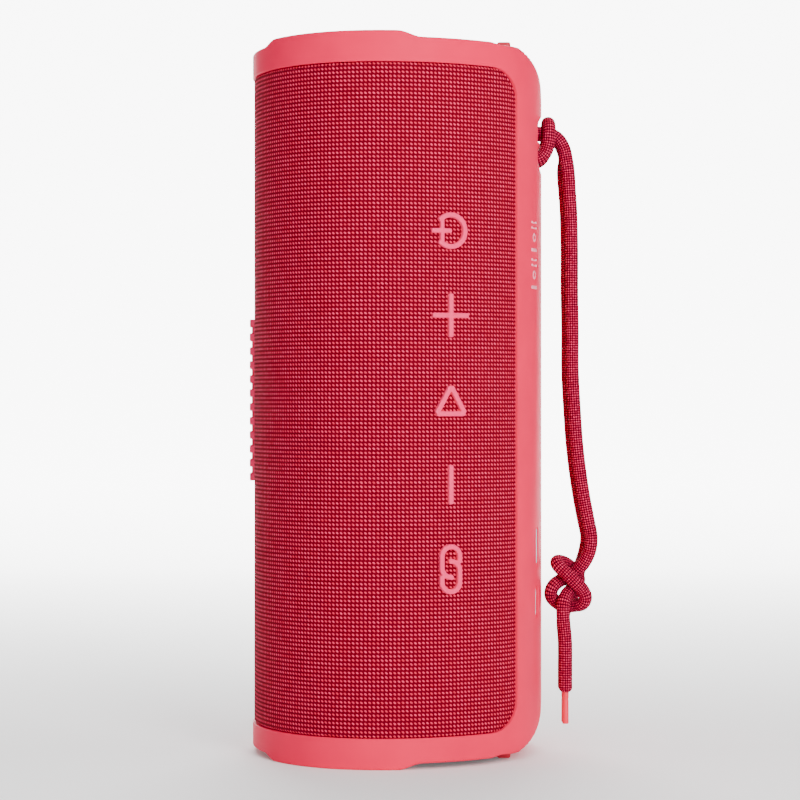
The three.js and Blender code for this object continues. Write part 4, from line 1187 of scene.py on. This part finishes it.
def sweep():
    """Floor that curves up into a backdrop behind the object, lit up behind it and fading aside."""
    profile = [(-3.0, 0.0), (-1.5, 0.0), (0.0, 0.0), (0.8, 0.0)]
    profile += [(0.8 + 1.2 * math.sin(a), 1.2 - 1.2 * math.cos(a)) for a in np.linspace(0.1, math.pi / 2, 14)]
    profile += [(2.0, 3.5)]
    points = []
    for along, up in profile:
        for aside in (-3.5, 3.5):
            p = ACROSS * aside - TOWARD * along
            points.append((p.x, p.y, up))
    mesh = bpy.data.meshes.new("sweep")
    mesh.from_pydata(points, [], grid_faces(len(profile), 2))
    mesh.shade_smooth()
    piece = bpy.data.objects.new("sweep", mesh)
    bpy.context.scene.collection.objects.link(piece)
    look = Look("pale_paper", Roughness=0.9)
    dull, bright = (0.86, 0.86, 0.86, 1), (0.9, 0.9, 0.9, 1)
    look.set("Base Color", look.ramp(look.noise(2.5, 2), (0.3, dull), (0.7, bright)))
    parts = look.node("ShaderNodeSeparateXYZ")
    look.put(parts.inputs[0], look.object_space())

    def distance(way):
        return look.math("ADD", look.math("MULTIPLY", parts.outputs[0], way.x),
                         look.math("MULTIPLY", parts.outputs[1], way.y))

    far = look.math("POWER", look.math("DIVIDE", distance(-TOWARD), 1.1, clamp=True), 1.4)
    aside = look.math("ABSOLUTE", distance(ACROSS))
    inside = look.math("DIVIDE", look.math("SUBTRACT", 0.95, aside), 0.4, clamp=True)
    look.set("Emission Color", (1, 1, 1, 1))
    look.set("Emission Strength", look.spread(look.math("MULTIPLY", far, inside), 0.1, 7.5))
    mesh.materials.append(look.material)


sweep()


def softbox(name, azimuth, elevation, distance, wide, tall, power):
    data = bpy.data.lights.new(name, "AREA")
    data.shape = "RECTANGLE"
    data.size = wide
    data.size_y = tall
    data.energy = power
    light = bpy.data.objects.new(name, data)
    a, e = math.radians(azimuth), math.radians(elevation)
    direction = Vector((math.sin(a) * math.cos(e), -math.cos(a) * math.cos(e), math.sin(e)))
    light.location = CENTRE + direction * distance
    light.rotation_euler = direction.to_track_quat("Z", "Y").to_euler()
    bpy.context.scene.collection.objects.link(light)


softbox("key", 42, 10, 1.1, 0.35, 1.0, 19.0)
softbox("front_fill", 10, 20, 1.4, 0.9, 0.9, 3.0)
softbox("left_edge", -70, 5, 1.2, 0.3, 1.0, 0.6)
softbox("overhead", 10, 78, 1.5, 1.6, 1.6, 16.0)

world = bpy.data.worlds.new("studio")
world.use_nodes = True
world.node_tree.nodes["Background"].inputs[0].default_value = (1, 1, 1, 1)
world.node_tree.nodes["Background"].inputs[1].default_value = 0.22
bpy.context.scene.world = world
